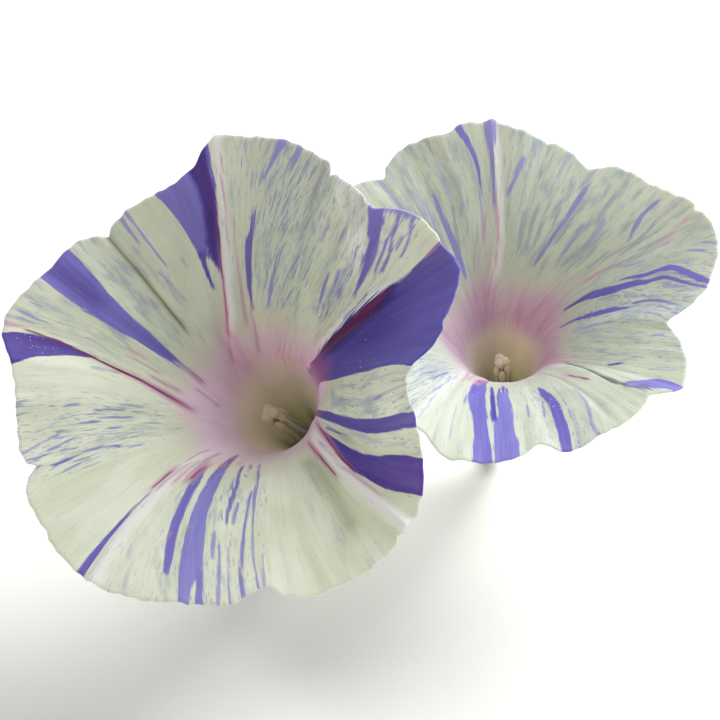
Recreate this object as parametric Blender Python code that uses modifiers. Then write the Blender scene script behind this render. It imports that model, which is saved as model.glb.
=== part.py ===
"""Cut sprig of striped morning glory, lying on a flat surface.

Two open flowers stand on one forked stalk that grows from a short length of the twining stem,
with three heart-shaped leaves. Sizes below are in millimetres, the scene is in metres, +Z is up
and the surface is z = 0. The origin lies under the middle of the sprig.
"""

import math
from bisect import bisect_right
from dataclasses import dataclass

import bmesh
import bpy
from mathutils import Matrix, Vector

MM = 0.001
GAP = 0.3                     # between pieces that touch
MERGE = 0.00001               # m, merge distance of turned shapes
COLLECTION_NAME = "morning_glory_sprig"
SPRIG_SHIFT = Vector((-1.2, -32.7, 0.0))   # from the first flower's own layout to the sprig's middle

# Corolla, seen along its own axis: (radius, height) up the middle of the petal from the base
FUNNEL_PROFILE = ((2.5, 0.0), (3.0, 6.0), (4.0, 12.5), (5.6, 18.0), (7.2, 22.0), (8.8, 25.6),
                  (12.0, 30.2), (17.0, 34.9), (23.0, 38.7), (28.5, 41.3), (33.0, 43.0))
FUNNEL_ROWS = 13
FUNNEL_COLUMNS = 60           # every ray and every seam lies on a column
THROAT = 0.42                 # share of the profile's length where the limb opens
REACH_POWER = 1.2             # how the rim's reach fades towards the throat
LIFT_POWER = 1.8              # how the rim's lift fades towards the throat
PETAL_THICKNESS = 0.6
RAYS = 5
RAY_HALF_WIDTH = 7.0          # degrees
SEAM_HALF_WIDTH = 4.0         # degrees
SEAM_DEPTH = 0.5

# Calyx and the parts inside the tube, in each flower's own frame
RECEPTACLE_BOTTOM = -3.6
RECEPTACLE_PROFILE = ((0.0, RECEPTACLE_BOTTOM), (1.5, RECEPTACLE_BOTTOM), (2.4, -2.9), (3.3, -1.6),
                      (3.4, -0.8), (3.1, -GAP), (0.0, -GAP))
SEPAL_LENGTH = 14.0
SEPAL_WIDTH = 3.6
SEPAL_THICKNESS = 0.7
SEPAL_ROWS = 7
SEPAL_COLUMNS = 4
PISTIL_PROFILE = ((0.0, 0.0), (0.8, 0.0), (1.1, 0.9), (1.05, 2.0), (0.65, 3.2), (0.36, 4.4),
                  (0.36, 18.6), (0.5, 19.4), (0.45, 20.3), (0.0, 20.4))
PISTIL_SIDES = 12
STIGMA_LOBES = 3
STIGMA_RADIUS = 0.8
STIGMA_SPREAD = 0.62
STIGMA_HEIGHT = 20.2
RING_PROFILE = ((1.4, 0.0), (1.4, 1.0), (1.85, 1.0), (1.85, 0.0))
FILAMENT_RADIUS = 0.32
FILAMENT_FOOT = 1.62
FILAMENT_SPREAD = 1.75
FILAMENT_HEIGHTS = (14.6, 17.6, 15.8, 18.4, 16.6)
ANTHER_RADIUS = 0.72
ANTHER_HALF_LENGTH = 1.6

# Stems: routes by hand, from points on the plant
STEM_RADIUS = 1.7
STEM_AXIS_HEIGHT = 1.45       # lower than the radius, so the underside is a flat strip
STALK_RADIUS = 1.3
PEDICEL_RADIUS = 1.15
PEDICEL_TOP_RADIUS = 1.5
PETIOLE_RADIUS = 0.85
NODE_RADIUS = 2.3
ROUTE_STEP = 3.0
TUBE_RESOLUTION = 2
THREAD_RESOLUTION = 1         # of the filaments and bracts
STEM_ROUTE = ((-46, 59, STEM_AXIS_HEIGHT), (-34, 62, STEM_AXIS_HEIGHT), (-18, 60, STEM_AXIS_HEIGHT),
              (-2, 63, STEM_AXIS_HEIGHT), (14, 68, STEM_AXIS_HEIGHT), (30, 66, STEM_AXIS_HEIGHT),
              (48, 70, STEM_AXIS_HEIGHT))
STEM_NODES = ((-34, 62), (-2, 63), (30, 66))
FORK = (9, 42, 2.4)
STALK_ROUTE = ((-2, 63, 1.8), (2, 57, 2.2), (6, 50, 2.5), FORK)
FRONT_PEDICEL_ROUTE = ((-3.4, 11.9, 11.5), (-1.2, 16.0, 8.2), (2.5, 25.0, 5.4), (6.0, 34.0, 3.6), FORK)
REAR_PEDICEL_ROUTE = ((23.4, 25.2, 4.9), (22.8, 27.4, 2.5), (20.6, 31.2, 1.0), (15.5, 36.8, 1.2), FORK)
BRACT_LENGTH = 4.5
BRACT_RADIUS = 0.6

# Leaves
LEAF_THICKNESS = 0.6
LEAF_SPOKES = 30
LEAF_RINGS = 5
SINUS_HALF_ANGLE = 14.0       # degrees, half of the notch where the petiole joins
# (angle from the tip in degrees, share of the leaf's length from the petiole's foot)
LEAF_OUTLINE = ((0, 1.0), (6, 0.88), (14, 0.76), (28, 0.66), (45, 0.6), (70, 0.54), (95, 0.49),
                (120, 0.44), (145, 0.385), (160, 0.31), (180, 0.2))


@dataclass(frozen=True)
class Flower:
    """One open flower: its place, and the real flower's own irregularities."""

    name: str
    base: tuple                # foot of the corolla tube
    lean: float                # degrees from straight up
    heading: float             # degrees from +X, the way it leans
    turn: float                # degrees about its own axis
    size: float                # scale of profiles and lengths
    column_turn: tuple         # (nominal angle, degrees it is turned by)
    rim: tuple                 # (angle, reach outwards, lift along the axis)
    ray_relief: tuple          # height of each ray over the petal's face, a valley where negative

    def pose(self):
        """Matrix from the flower's own frame in metres to the sprig."""
        turned_up = (Matrix.Rotation(math.radians(self.heading), 4, "Z")
                     @ Matrix.Rotation(math.radians(self.lean), 4, "Y")
                     @ Matrix.Rotation(math.radians(self.turn), 4, "Z"))
        return Matrix.Translation((Vector(self.base) + SPRIG_SHIFT) * MM) @ turned_up


FRONT = Flower(
    name="front", base=(-5.7, 7.9, 17.2), lean=39.2, heading=240.1, turn=209.7, size=1.0,
    column_turn=((0, -2), (36, -1), (72, -3), (108, -1), (144, -3), (180, 5), (216, 3), (252, 2), (288, 0),
                 (324, 0)),
    rim=((4, -2.4, 0.3), (19, -3.0, -1.6), (29, -2.1, -2.7), (35, -2.5, -2.8), (41, -0.5, -2.4),
         (53, -0.4, -0.4), (62, 1.0, 1.0), (69, 1.5, 1.7), (79, -1.3, 1.5), (89, -2.1, 0.7),
         (101, -1.2, -0.4), (107, -1.4, -0.5), (113, 0.0, -0.4), (123, 0.5, 0.0), (141, 1.8, 0.9),
         (154, 1.6, 0.7), (166, 0.9, 0.3), (179, 1.1, -0.4), (185, -0.3, -0.7), (191, 2.2, -1.1),
         (203, 3.5, -2.2),
         (219, 3.5, -2.7), (229, 2.1, -1.3), (238, -1.0, 0.6), (246, -3.5, 2.4), (254, -4.4, 3.3),
         (260, -1.7, 3.2), (268, 0.3, 2.4), (280, 2.7, 0.6), (288, 1.7, -0.2), (297, 0.4, 1.8),
         (300, -1.2, 2.5), (303, -3.1, 2.9), (307, -3.1, 2.2), (313, -2.4, 0.0), (320, -2.3, 1.5),
         (324, -1.2, -0.6), (329, -0.1, -0.4), (335, 0.4, -0.1), (348, 0.8, 0.6), (358, 1.0, 0.7)),
    ray_relief=(-1.0, -1.0, -0.6, 1.0, -2.4))

REAR = Flower(
    name="rear", base=(23.1, 23.0, 10.9), lean=18.8, heading=263.6, turn=190.3, size=0.88,
    column_turn=((0, -1), (36, -1), (72, 0), (108, 0), (144, 0), (180, 3), (216, 3), (252, -4), (288, -2),
                 (324, 2)),
    rim=((5, 0.1, 2.8), (11, -0.2, 2.3), (20, 1.3, 1.1), (27, 1.4, 0.0), (33, 0.2, -0.6), (36, -0.6, -0.7),
         (40, 0.6, -0.8), (55, 1.5, -1.0), (72, 2.0, -1.0), (90, 0.5, -1.0), (104, 0.0, -1.0),
         (108, -1.2, -1.0), (113, 0.5, -1.0), (130, 0.5, -0.7), (144, 0.2, -0.5), (150, 0.4, -0.4),
         (158, 3.4, -0.4), (166, 3.3, -0.4), (177, 2.3, -0.3), (183, 0.3, -0.2), (188, 2.3, -0.2),
         (199, 1.7, 0.2), (212, 1.3, 0.5), (219, 0.4, 0.5), (225, 2.6, 0.3), (233, 1.3, -0.3),
         (238, -0.4, -0.6), (244, -2.6, -0.9), (248, -4.3, -0.9), (253, -2.8, -0.8), (258, -0.7, -0.5),
         (264, 1.1, 0.2), (271, 2.7, 1.2), (278, 3.3, 1.9), (286, 3.1, 2.3), (300, 0.4, 1.0),
         (312, 0.6, -0.9), (318, 0.5, -1.6), (326, -1.5, -1.8), (333, -0.4, -1.1), (340, -0.4, 0.0),
         (350, -0.3, 2.0), (359, 1.6, 2.9)),
    ray_relief=(-0.8, -0.8, -0.6, -1.2, -0.8))


@dataclass(frozen=True)
class Leaf:
    """One heart-shaped leaf: where its petiole leaves the stem and how the blade lies."""

    name: str
    petiole: tuple             # route from the stem to the blade, the last point under the blade
    heading: float             # degrees from +X, the way the tip points
    length: float              # petiole's foot to tip
    arch: float                # height of the blade's middle over its margin
    waves: int                 # low waves round the margin
    wave_height: float


LEAVES = (
    Leaf(name="leaf_1",
         petiole=((-3.5, 60.4, 2.7), (-5.4, 58.8, 3.8), (-9.0, 56.5, 5.2), (-15.0, 52.0, 6.6),
                  (-19.6, 45.6, 7.0), (-22.0, 40.0, 6.4)),
         heading=247.0, length=38.0, arch=6.0, waves=7, wave_height=1.3),
    Leaf(name="leaf_2",
         petiole=((30.2, 68.25, 2.45), (30.5, 71.5, 4.2), (30.6, 76.0, 5.7), (31.0, 82.0, 5.4)),
         heading=76.0, length=29.0, arch=5.0, waves=6, wave_height=1.1),
    Leaf(name="leaf_3",
         petiole=((-34.0, 64.25, 2.45), (-33.2, 67.5, 3.9), (-31.5, 71.0, 5.0), (-30.0, 75.5, 5.0)),
         heading=94.0, length=28.0, arch=4.6, waves=6, wave_height=1.0),
)


def smooth_cycle(table, angle):
    """Smooth value at an angle from (angle, value) pairs that go once round."""
    angles = [row[0] for row in table]
    values = [row[1] for row in table]
    count = len(table)

    def knot(index):
        """Angle and value of a pair, counted on past the ends of the table."""
        turns, place = divmod(index, count)
        return angles[place] + 360.0 * turns, values[place]

    def slope(index):
        """Tangent at a pair, from the chords on both its sides."""
        (a0, v0), (a1, v1), (a2, v2) = knot(index - 1), knot(index), knot(index + 1)
        before, after = a1 - a0, a2 - a1
        return ((v1 - v0) / before * after + (v2 - v1) / after * before) / (before + after)

    angle %= 360.0
    start = bisect_right(angles, angle) - 1
    (a1, v1), (a2, v2) = knot(start), knot(start + 1)
    span = a2 - a1
    u = (angle - a1) / span
    return ((2 * u ** 3 - 3 * u ** 2 + 1) * v1 + (u ** 3 - 2 * u ** 2 + u) * span * slope(start)
            + (3 * u ** 2 - 2 * u ** 3) * v2 + (u ** 3 - u ** 2) * span * slope(start + 1))


def smooth_route(points, step):
    """Points about one step apart on a Catmull-Rom curve through the given points."""
    knots = [Vector(p) for p in points]
    knots = [2 * knots[0] - knots[1]] + knots + [2 * knots[-1] - knots[-2]]
    route = []
    for p0, p1, p2, p3 in zip(knots, knots[1:], knots[2:], knots[3:]):
        pieces = max(2, round((p2 - p1).length / step))
        for i in range(pieces):
            u = i / pieces
            route.append(0.5 * (2 * p1 + (p2 - p0) * u + (2 * p0 - 5 * p1 + 4 * p2 - p3) * u ** 2
                                + (3 * p1 - p0 - 3 * p2 + p3) * u ** 3))
    route.append(knots[-2])
    return route


def even_profile(points, rows):
    """The profile's curve as evenly spaced (radius, height) points, base first."""
    fine = smooth_route([(r, h, 0.0) for r, h in points], 0.2)
    lengths = [0.0]
    for a, b in zip(fine, fine[1:]):
        lengths.append(lengths[-1] + (b - a).length)
    even = []
    for i in range(rows):
        place = lengths[-1] * i / (rows - 1)
        k = min(max(bisect_right(lengths, place) - 1, 0), len(fine) - 2)
        u = (place - lengths[k]) / (lengths[k + 1] - lengths[k])
        even.append(fine[k].lerp(fine[k + 1], u))
    return [(p.x, p.y) for p in even]


def new_object(name, mesh):
    """Object of a mesh, linked to the scene's own collection until it is finished."""
    obj = bpy.data.objects.new(name, mesh)
    bpy.context.scene.collection.objects.link(obj)
    return obj


def applied(obj):
    """The object with its modifiers applied."""
    bpy.context.view_layer.update()
    evaluated = obj.evaluated_get(bpy.context.evaluated_depsgraph_get())
    mesh = bpy.data.meshes.new_from_object(evaluated)
    old = obj.data
    obj.modifiers.clear()
    obj.data = mesh
    bpy.data.meshes.remove(old)
    return obj


def turned(name, profile, steps):
    """A profile of (radius, height) points turned once round +Z."""
    mesh = bpy.data.meshes.new(name)
    edges = [(i, i + 1) for i in range(len(profile) - 1)]
    mesh.from_pydata([(r * MM, 0.0, h * MM) for r, h in profile], edges, [])
    obj = new_object(name, mesh)
    screw = obj.modifiers.new("turned", "SCREW")
    screw.axis = "Z"
    screw.steps = steps
    screw.render_steps = steps
    screw.use_merge_vertices = True
    screw.merge_threshold = MERGE
    return applied(obj)


def face_outwards(obj):
    """Turn a closed mesh's faces to point out of it."""
    bm = bmesh.new()
    bm.from_mesh(obj.data)
    bmesh.ops.remove_doubles(bm, verts=bm.verts, dist=MERGE)
    bmesh.ops.recalc_face_normals(bm, faces=bm.faces)
    bm.to_mesh(obj.data)
    bm.free()
    return obj


def thickened(obj, thickness):
    """Give an open blade its thickness, split into triangles alike on both faces."""
    bm = bmesh.new()
    bm.from_mesh(obj.data)
    bmesh.ops.triangulate(bm, faces=bm.faces, quad_method="SHORT_EDGE")
    bm.to_mesh(obj.data)
    bm.free()
    wall = obj.modifiers.new("blade", "SOLIDIFY")
    wall.thickness = thickness * MM
    wall.offset = 0.0
    return applied(obj)


def tube(name, route, radii, resolution=TUBE_RESOLUTION):
    """A round stem along a route, its radius given at both ends."""
    curve = bpy.data.curves.new(name, "CURVE")
    curve.dimensions = "3D"
    curve.bevel_depth = 1.0 * MM
    curve.bevel_resolution = resolution
    curve.use_fill_caps = True
    spline = curve.splines.new("POLY")
    spline.points.add(len(route) - 1)
    for i, (point, place) in enumerate(zip(spline.points, route)):
        point.co = (*(Vector(place) * MM), 1.0)
        point.radius = radii[0] + (radii[1] - radii[0]) * i / (len(route) - 1)
    source = new_object(name + "_curve", curve)
    bpy.context.view_layer.update()
    evaluated = source.evaluated_get(bpy.context.evaluated_depsgraph_get())
    obj = new_object(name, bpy.data.meshes.new_from_object(evaluated))
    bpy.data.objects.remove(source)
    return face_outwards(obj)


def ball(name, centre, radii, segments=10):
    """A sphere, or an ellipsoid of three radii."""
    mesh = bpy.data.meshes.new(name)
    bm = bmesh.new()
    bmesh.ops.create_uvsphere(bm, u_segments=segments, v_segments=segments // 2 + 1, radius=1.0)
    bmesh.ops.scale(bm, vec=Vector(radii) * MM, verts=bm.verts)
    bmesh.ops.translate(bm, vec=Vector(centre) * MM, verts=bm.verts)
    bm.to_mesh(mesh)
    bm.free()
    return new_object(name, mesh)


def fused(obj, others):
    """Join other solids to this one in a single Boolean union."""
    grown = bpy.data.collections.new("growing")
    bpy.context.scene.collection.children.link(grown)
    for other in others:
        bpy.context.scene.collection.objects.unlink(other)
        grown.objects.link(other)
    union = obj.modifiers.new("grown together", "BOOLEAN")
    union.operation = "UNION"
    union.operand_type = "COLLECTION"
    union.collection = grown
    union.solver = "EXACT"
    applied(obj)
    for other in others:
        bpy.data.objects.remove(other)
    bpy.data.collections.remove(grown)
    return obj


def flattened(obj):
    """Cut a solid off level with the surface it lies on."""
    mesh = bpy.data.meshes.new("surface")
    bm = bmesh.new()
    bmesh.ops.create_cube(bm, size=1.0)
    bmesh.ops.translate(bm, vec=(0.0, 0.0, -0.5), verts=bm.verts)
    bm.to_mesh(mesh)
    bm.free()
    surface = new_object("surface", mesh)
    cut = obj.modifiers.new("flat underside", "BOOLEAN")
    cut.operation = "DIFFERENCE"
    cut.object = surface
    cut.solver = "EXACT"
    applied(obj)
    bpy.data.objects.remove(surface)
    return obj


def petal_point(flower, angle, share, radius, height):
    """Where the point of the plain funnel at this angle and share of its length really is."""
    open_share = max(0.0, (share - THROAT) / (1.0 - THROAT))
    real_angle = angle + smooth_cycle(flower.column_turn, angle) * min(1.0, share / THROAT)
    reach = smooth_cycle([(a, r) for a, r, _ in flower.rim], real_angle)
    lift = smooth_cycle([(a, l) for a, _, l in flower.rim], real_angle)
    radius += reach * open_share ** REACH_POWER
    height += lift * open_share ** LIFT_POWER + crease(flower, angle, open_share)
    turn = math.radians(real_angle)
    return Vector((radius * math.cos(turn), radius * math.sin(turn), height)) * MM


def crease(flower, angle, open_share):
    """Height of the five rays and of the seams between the petals over the smooth limb."""
    pitch = 360.0 / RAYS
    ray = round(angle / pitch) % RAYS
    from_ray = (angle + pitch / 2) % pitch - pitch / 2
    from_seam = angle % pitch - pitch / 2
    swell = math.sin(math.pi * min(1.0, 0.12 + 0.76 * open_share)) if open_share > 0.0 else 0.0
    rise = flower.ray_relief[ray] * math.exp(-(from_ray / RAY_HALF_WIDTH) ** 2)
    groove = SEAM_DEPTH * math.exp(-(from_seam / SEAM_HALF_WIDTH) ** 2)
    return (rise - groove) * swell


def make_corolla(flower):
    """Funnel of five fused petals with a waved limb, rays, seams and notched rim."""
    profile = even_profile([(r * flower.size, h * flower.size) for r, h in FUNNEL_PROFILE], FUNNEL_ROWS)
    heights = [h * MM for _, h in profile]
    obj = turned(f"corolla_{flower.name}", profile, FUNNEL_COLUMNS)
    for vertex in obj.data.vertices:
        row = min(range(FUNNEL_ROWS), key=lambda i: abs(heights[i] - vertex.co.z))
        angle = math.degrees(math.atan2(vertex.co.y, vertex.co.x)) % 360.0
        radius, height = profile[row]
        vertex.co = petal_point(flower, angle, row / (FUNNEL_ROWS - 1), radius, height)
    return thickened(obj, PETAL_THICKNESS)


def make_sepal(name, flower, turn):
    """One pointed sepal, rooted in the receptacle and pressed to the tube."""
    mesh = bpy.data.meshes.new(name)
    bm = bmesh.new()
    bmesh.ops.create_grid(bm, x_segments=SEPAL_COLUMNS, y_segments=SEPAL_ROWS, size=1.0)
    for vertex in bm.verts:
        across, along = vertex.co.x, (vertex.co.y + 1.0) / 2.0
        half_width = SEPAL_WIDTH / 2 * (0.55 + 1.2 * along * (1.0 - along)) * (1.0 - along ** 3) + 0.12
        radius = 2.95 + 0.55 * (1.0 - math.exp(-14.0 * along)) + 0.5 * along + along ** 2 + 0.6 * along ** 4
        angle = math.radians(turn) + across * half_width / radius
        height = -1.8 + SEPAL_LENGTH * along
        vertex.co = Vector((radius * math.cos(angle), radius * math.sin(angle), height)) * MM * flower.size
    bm.to_mesh(mesh)
    bm.free()
    return thickened(new_object(name, mesh), SEPAL_THICKNESS)


def make_calyx(flower):
    """Receptacle with five sepals."""
    size = flower.size
    profile = [(r * size, h * size if h < -GAP else h) for r, h in RECEPTACLE_PROFILE]
    receptacle = face_outwards(turned(f"calyx_{flower.name}", profile, 20))
    sepals = [make_sepal(f"sepal_{k}", flower, 36.0 + 72.0 * k) for k in range(RAYS)]
    return fused(receptacle, sepals)


def make_stamens(flower):
    """Five unequal stamens on one ring at the foot of the tube."""
    size = flower.size
    ring = face_outwards(turned(f"stamens_{flower.name}",
                                [(r * size, h * size) for r, h in RING_PROFILE + RING_PROFILE[:1]], 20))
    grown = []
    for k, height in enumerate(FILAMENT_HEIGHTS):
        turn = math.radians(72.0 * k + 36.0)
        out = Vector((math.cos(turn), math.sin(turn), 0.0))
        route = [out * FILAMENT_FOOT + Vector((0, 0, 0.5)), out * 1.6 + Vector((0, 0, 0.35 * height)),
                 out * 1.75 + Vector((0, 0, 0.7 * height)), out * FILAMENT_SPREAD + Vector((0, 0, height))]
        smooth = [p * size for p in smooth_route(route, ROUTE_STEP)]
        grown.append(tube(f"filament_{k}", smooth, (FILAMENT_RADIUS, FILAMENT_RADIUS), THREAD_RESOLUTION))
        grown.append(ball(f"anther_{k}", (out * FILAMENT_SPREAD + Vector((0, 0, height))) * size,
                          (ANTHER_RADIUS * size, ANTHER_RADIUS * size, ANTHER_HALF_LENGTH * size), 8))
    return fused(ring, grown)


def make_pistil(flower):
    """Ovary, style and three-lobed stigma."""
    size = flower.size
    profile = [(r * size, h * size) for r, h in PISTIL_PROFILE]
    pistil = face_outwards(turned(f"pistil_{flower.name}", profile, PISTIL_SIDES))
    lobes = []
    for k in range(STIGMA_LOBES):
        turn = math.radians(120.0 * k + 20.0)
        out = Vector((math.cos(turn), math.sin(turn), 0.0)) * STIGMA_SPREAD
        centre = (out + Vector((0, 0, STIGMA_HEIGHT))) * size
        lobes.append(ball(f"lobe_{k}", centre, (STIGMA_RADIUS * size,) * 3, 8))
    return fused(pistil, lobes)


def pedicel_start(flower):
    """Points on the flower's axis where its pedicel leaves the receptacle."""
    pose = flower.pose()
    below = RECEPTACLE_BOTTOM * flower.size - GAP
    return [pose @ Vector((0, 0, (below - drop) * MM)) / MM - SPRIG_SHIFT for drop in (0.0, 1.2)]


def placed(route):
    """A route moved with the whole sprig."""
    return [Vector(p) + SPRIG_SHIFT for p in route]


def make_vine_stem():
    """Twining stem, flower stalk, fork, pedicels and bracts, grown as one."""
    stem = tube("vine_stem", placed(smooth_route(STEM_ROUTE, ROUTE_STEP)), (STEM_RADIUS, STEM_RADIUS * 0.9))
    grown = [tube("stalk", placed(smooth_route(STALK_ROUTE, ROUTE_STEP)), (STALK_RADIUS, STALK_RADIUS))]
    for flower, route in ((FRONT, FRONT_PEDICEL_ROUTE), (REAR, REAR_PEDICEL_ROUTE)):
        points = smooth_route(pedicel_start(flower) + [Vector(p) for p in route], ROUTE_STEP)
        radii = (PEDICEL_TOP_RADIUS * flower.size, PEDICEL_RADIUS)
        grown.append(tube(f"pedicel_{flower.name}", placed(points), radii))
    for k, (x, y) in enumerate(STEM_NODES):
        centre = Vector((x, y, STEM_AXIS_HEIGHT)) + SPRIG_SHIFT
        grown.append(ball(f"swelling_{k}", centre, (NODE_RADIUS, NODE_RADIUS * 0.85, NODE_RADIUS * 0.85), 12))
    grown.append(ball("fork", Vector(FORK) + SPRIG_SHIFT, (1.9, 1.9, 1.7), 10))
    for k, side in enumerate((-1.0, 1.0)):
        tip = Vector(FORK) + Vector((side * BRACT_LENGTH, 1.5, 1.6))
        middle = Vector(FORK) + Vector((side * BRACT_LENGTH * 0.5, 0.9, 1.3))
        radii = (BRACT_RADIUS, BRACT_RADIUS * 0.4)
        grown.append(tube(f"bract_{k}", placed((FORK, middle, tip)), radii, THREAD_RESOLUTION))
    return flattened(fused(stem, grown))


def leaf_reach(angle):
    """Share of the leaf's length from the petiole's foot to the margin at an angle from the tip."""
    angle = abs(angle)
    for (a0, r0), (a1, r1) in zip(LEAF_OUTLINE, LEAF_OUTLINE[1:]):
        if angle <= a1:
            u = (angle - a0) / (a1 - a0)
            return r0 + (r1 - r0) * u
    return LEAF_OUTLINE[-1][1]


def blade_point(leaf, angle, ring):
    """A point of the blade, from its angle off the tip and its ring, 0 at the foot and 1 at the margin."""
    foot = Vector(leaf.petiole[-1])
    reach = leaf_reach(angle) * leaf.length * ring
    turn = math.radians(leaf.heading + angle)
    low = LEAF_THICKNESS / 2
    lie = leaf.arch * (1.0 - ring ** 1.6)
    wave = leaf.wave_height * ring ** 2 * (0.5 - 0.5 * math.cos(math.radians(angle) * leaf.waves))
    rib = 0.5 * math.exp(-(angle / 9.0) ** 2) * math.sin(math.pi * ring)
    return Vector((foot.x + reach * math.cos(turn), foot.y + reach * math.sin(turn), low + lie + wave - rib))


def make_leaf(leaf):
    """Heart-shaped blade, its margin resting on the surface, with its petiole."""
    mesh = bpy.data.meshes.new(leaf.name)
    bm = bmesh.new()
    bmesh.ops.create_grid(bm, x_segments=LEAF_SPOKES, y_segments=LEAF_RINGS, size=1.0)
    widest = 180.0 - SINUS_HALF_ANGLE
    for vertex in bm.verts:
        angle, ring = vertex.co.x * widest, (vertex.co.y + 1.0) / 2.0
        vertex.co = (blade_point(leaf, angle, ring) + SPRIG_SHIFT) * MM
    bmesh.ops.remove_doubles(bm, verts=bm.verts, dist=MERGE)
    bmesh.ops.recalc_face_normals(bm, faces=bm.faces)
    bm.to_mesh(mesh)
    bm.free()
    blade = thickened(new_object(leaf.name, mesh), LEAF_THICKNESS)
    route = placed(smooth_route(leaf.petiole, ROUTE_STEP))
    return fused(blade, [tube("petiole", route, (PETIOLE_RADIUS * 1.1, PETIOLE_RADIUS * 0.8))])


def material(name, colour, roughness):
    """Principled finish of one kind of plant tissue."""
    finish = bpy.data.materials.new(name)
    finish.use_nodes = True
    shader = finish.node_tree.nodes["Principled BSDF"]
    shader.inputs["Base Color"].default_value = (*colour, 1.0)
    shader.inputs["Roughness"].default_value = roughness
    shader.inputs["Metallic"].default_value = 0.0
    finish.diffuse_color = (*colour, 1.0)
    return finish


def finish_object(obj, collection, finish):
    """Shade a finished piece and put it in the sprig's collection."""
    obj.data.materials.clear()
    obj.data.materials.append(finish)
    obj.data.shade_smooth()
    obj.data.set_sharp_from_angle(angle=math.radians(50.0))
    for home in list(obj.users_collection):
        home.objects.unlink(obj)
    collection.objects.link(obj)


def main():
    """Build the whole sprig."""
    for old in list(bpy.data.objects):
        bpy.data.objects.remove(old, do_unlink=True)
    sprig = bpy.data.collections.new(COLLECTION_NAME)
    bpy.context.scene.collection.children.link(sprig)
    petal = material("petal", (0.60, 0.62, 0.50), 0.6)
    green = material("leaf_green", (0.11, 0.23, 0.06), 0.55)
    stem_green = material("stem_green", (0.20, 0.28, 0.10), 0.6)
    cream = material("cream", (0.72, 0.62, 0.42), 0.6)
    for flower in (FRONT, REAR):
        stand = bpy.data.objects.new(f"{flower.name}_flower", None)
        sprig.objects.link(stand)
        stand.matrix_world = flower.pose()
        for make, finish in ((make_corolla, petal), (make_calyx, stem_green), (make_stamens, cream),
                             (make_pistil, cream)):
            obj = make(flower)
            finish_object(obj, sprig, finish)
            obj.parent = stand
    finish_object(make_vine_stem(), sprig, stem_green)
    for leaf in LEAVES:
        finish_object(make_leaf(leaf), sprig, green)


main()
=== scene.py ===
"""Looks of the cut morning glory sprig: two striped flowers on a forked stalk, with stem and leaves.

Lengths are in millimetres and angles in degrees, as a grower would note them, and become metres when a
mesh is made. A flower's own frame has the foot of its tube at the origin and the tube along +Z. A point
of the flower is named by its angle round the tube and its share of the way from foot to rim.
"""

import logging
import math
from collections.abc import Callable, Mapping, Sequence
from dataclasses import dataclass
from enum import Enum
from functools import partial

import bpy
import numpy as np
from bpy.types import ID, Material, Mesh, Node, NodeSocket, NodeTree, Object
from mathutils import Matrix, Vector


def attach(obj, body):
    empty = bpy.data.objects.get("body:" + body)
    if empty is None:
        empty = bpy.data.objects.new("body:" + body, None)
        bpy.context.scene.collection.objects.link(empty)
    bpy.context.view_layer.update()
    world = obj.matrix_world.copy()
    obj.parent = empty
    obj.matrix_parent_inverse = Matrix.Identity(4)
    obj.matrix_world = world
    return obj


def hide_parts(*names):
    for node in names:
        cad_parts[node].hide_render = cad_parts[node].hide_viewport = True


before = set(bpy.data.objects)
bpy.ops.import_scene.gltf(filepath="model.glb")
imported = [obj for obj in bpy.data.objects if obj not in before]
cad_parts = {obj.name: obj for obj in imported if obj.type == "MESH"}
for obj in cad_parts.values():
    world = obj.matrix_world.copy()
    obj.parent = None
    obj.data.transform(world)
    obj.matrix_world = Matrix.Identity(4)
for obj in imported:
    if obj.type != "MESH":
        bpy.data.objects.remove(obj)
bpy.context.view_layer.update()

LOG = logging.getLogger("sprig")
MM = 0.001
SPRIG_SHIFT = np.array((-1.2, -32.7, 0.0))  # from where the stem's route is drawn to the sprig's frame
PETALS = 5
PITCH = 360.0 / PETALS

Array = np.ndarray
Triple = tuple[float, float, float]
Table = Sequence[tuple[float, ...]]


# Small tools ---------------


def linear(code: str) -> tuple[float, float, float, float]:
    """Turn an sRGB hex colour to linear.

    Args:
        code: Six hex digits after a #.

    Returns:
        Linear red, green, blue and an alpha of 1.
    """
    parts = [int(code[i:i + 2], 16) / 255.0 for i in (1, 3, 5)]
    red, green, blue = [p / 12.92 if p <= 0.04045 else ((p + 0.055) / 1.055) ** 2.4 for p in parts]
    return red, green, blue, 1.0


class Kind(Enum):
    """Node kinds that come again and again, each with the settings that it always has here."""

    ATTRIBUTE = ("ShaderNodeAttribute", {})
    PLACE = ("ShaderNodeTexCoord", {})
    NOISE = ("ShaderNodeTexNoise", {})
    RAMP = ("ShaderNodeValToRGB", {})
    MIX = ("ShaderNodeMix", {"data_type": "RGBA"})
    STEP = ("ShaderNodeMapRange", {"interpolation_type": "SMOOTHSTEP"})
    PLUS = ("ShaderNodeMath", {"operation": "ADD"})
    MINUS = ("ShaderNodeMath", {"operation": "SUBTRACT"})
    TIMES = ("ShaderNodeMath", {"operation": "MULTIPLY"})
    TIMES_PLUS = ("ShaderNodeMath", {"operation": "MULTIPLY_ADD"})
    LARGER = ("ShaderNodeMath", {"operation": "MAXIMUM"})
    SCATTER = ("GeometryNodeDistributePointsOnFaces", {})
    STAND = ("GeometryNodeInstanceOnPoints", {})
    READ = ("GeometryNodeInputNamedAttribute", {"data_type": "FLOAT"})
    DRAW = ("FunctionNodeRandomValue", {"data_type": "FLOAT"})
    DRAW_VECTOR = ("FunctionNodeRandomValue", {"data_type": "FLOAT_VECTOR"})
    VECTOR = ("ShaderNodeCombineXYZ", {})


(ATTRIBUTE, PLACE, NOISE, RAMP, MIX, STEP, PLUS, MINUS, TIMES, TIMES_PLUS, LARGER, SCATTER, STAND, READ,
 DRAW, DRAW_VECTOR, VECTOR) = Kind


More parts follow.
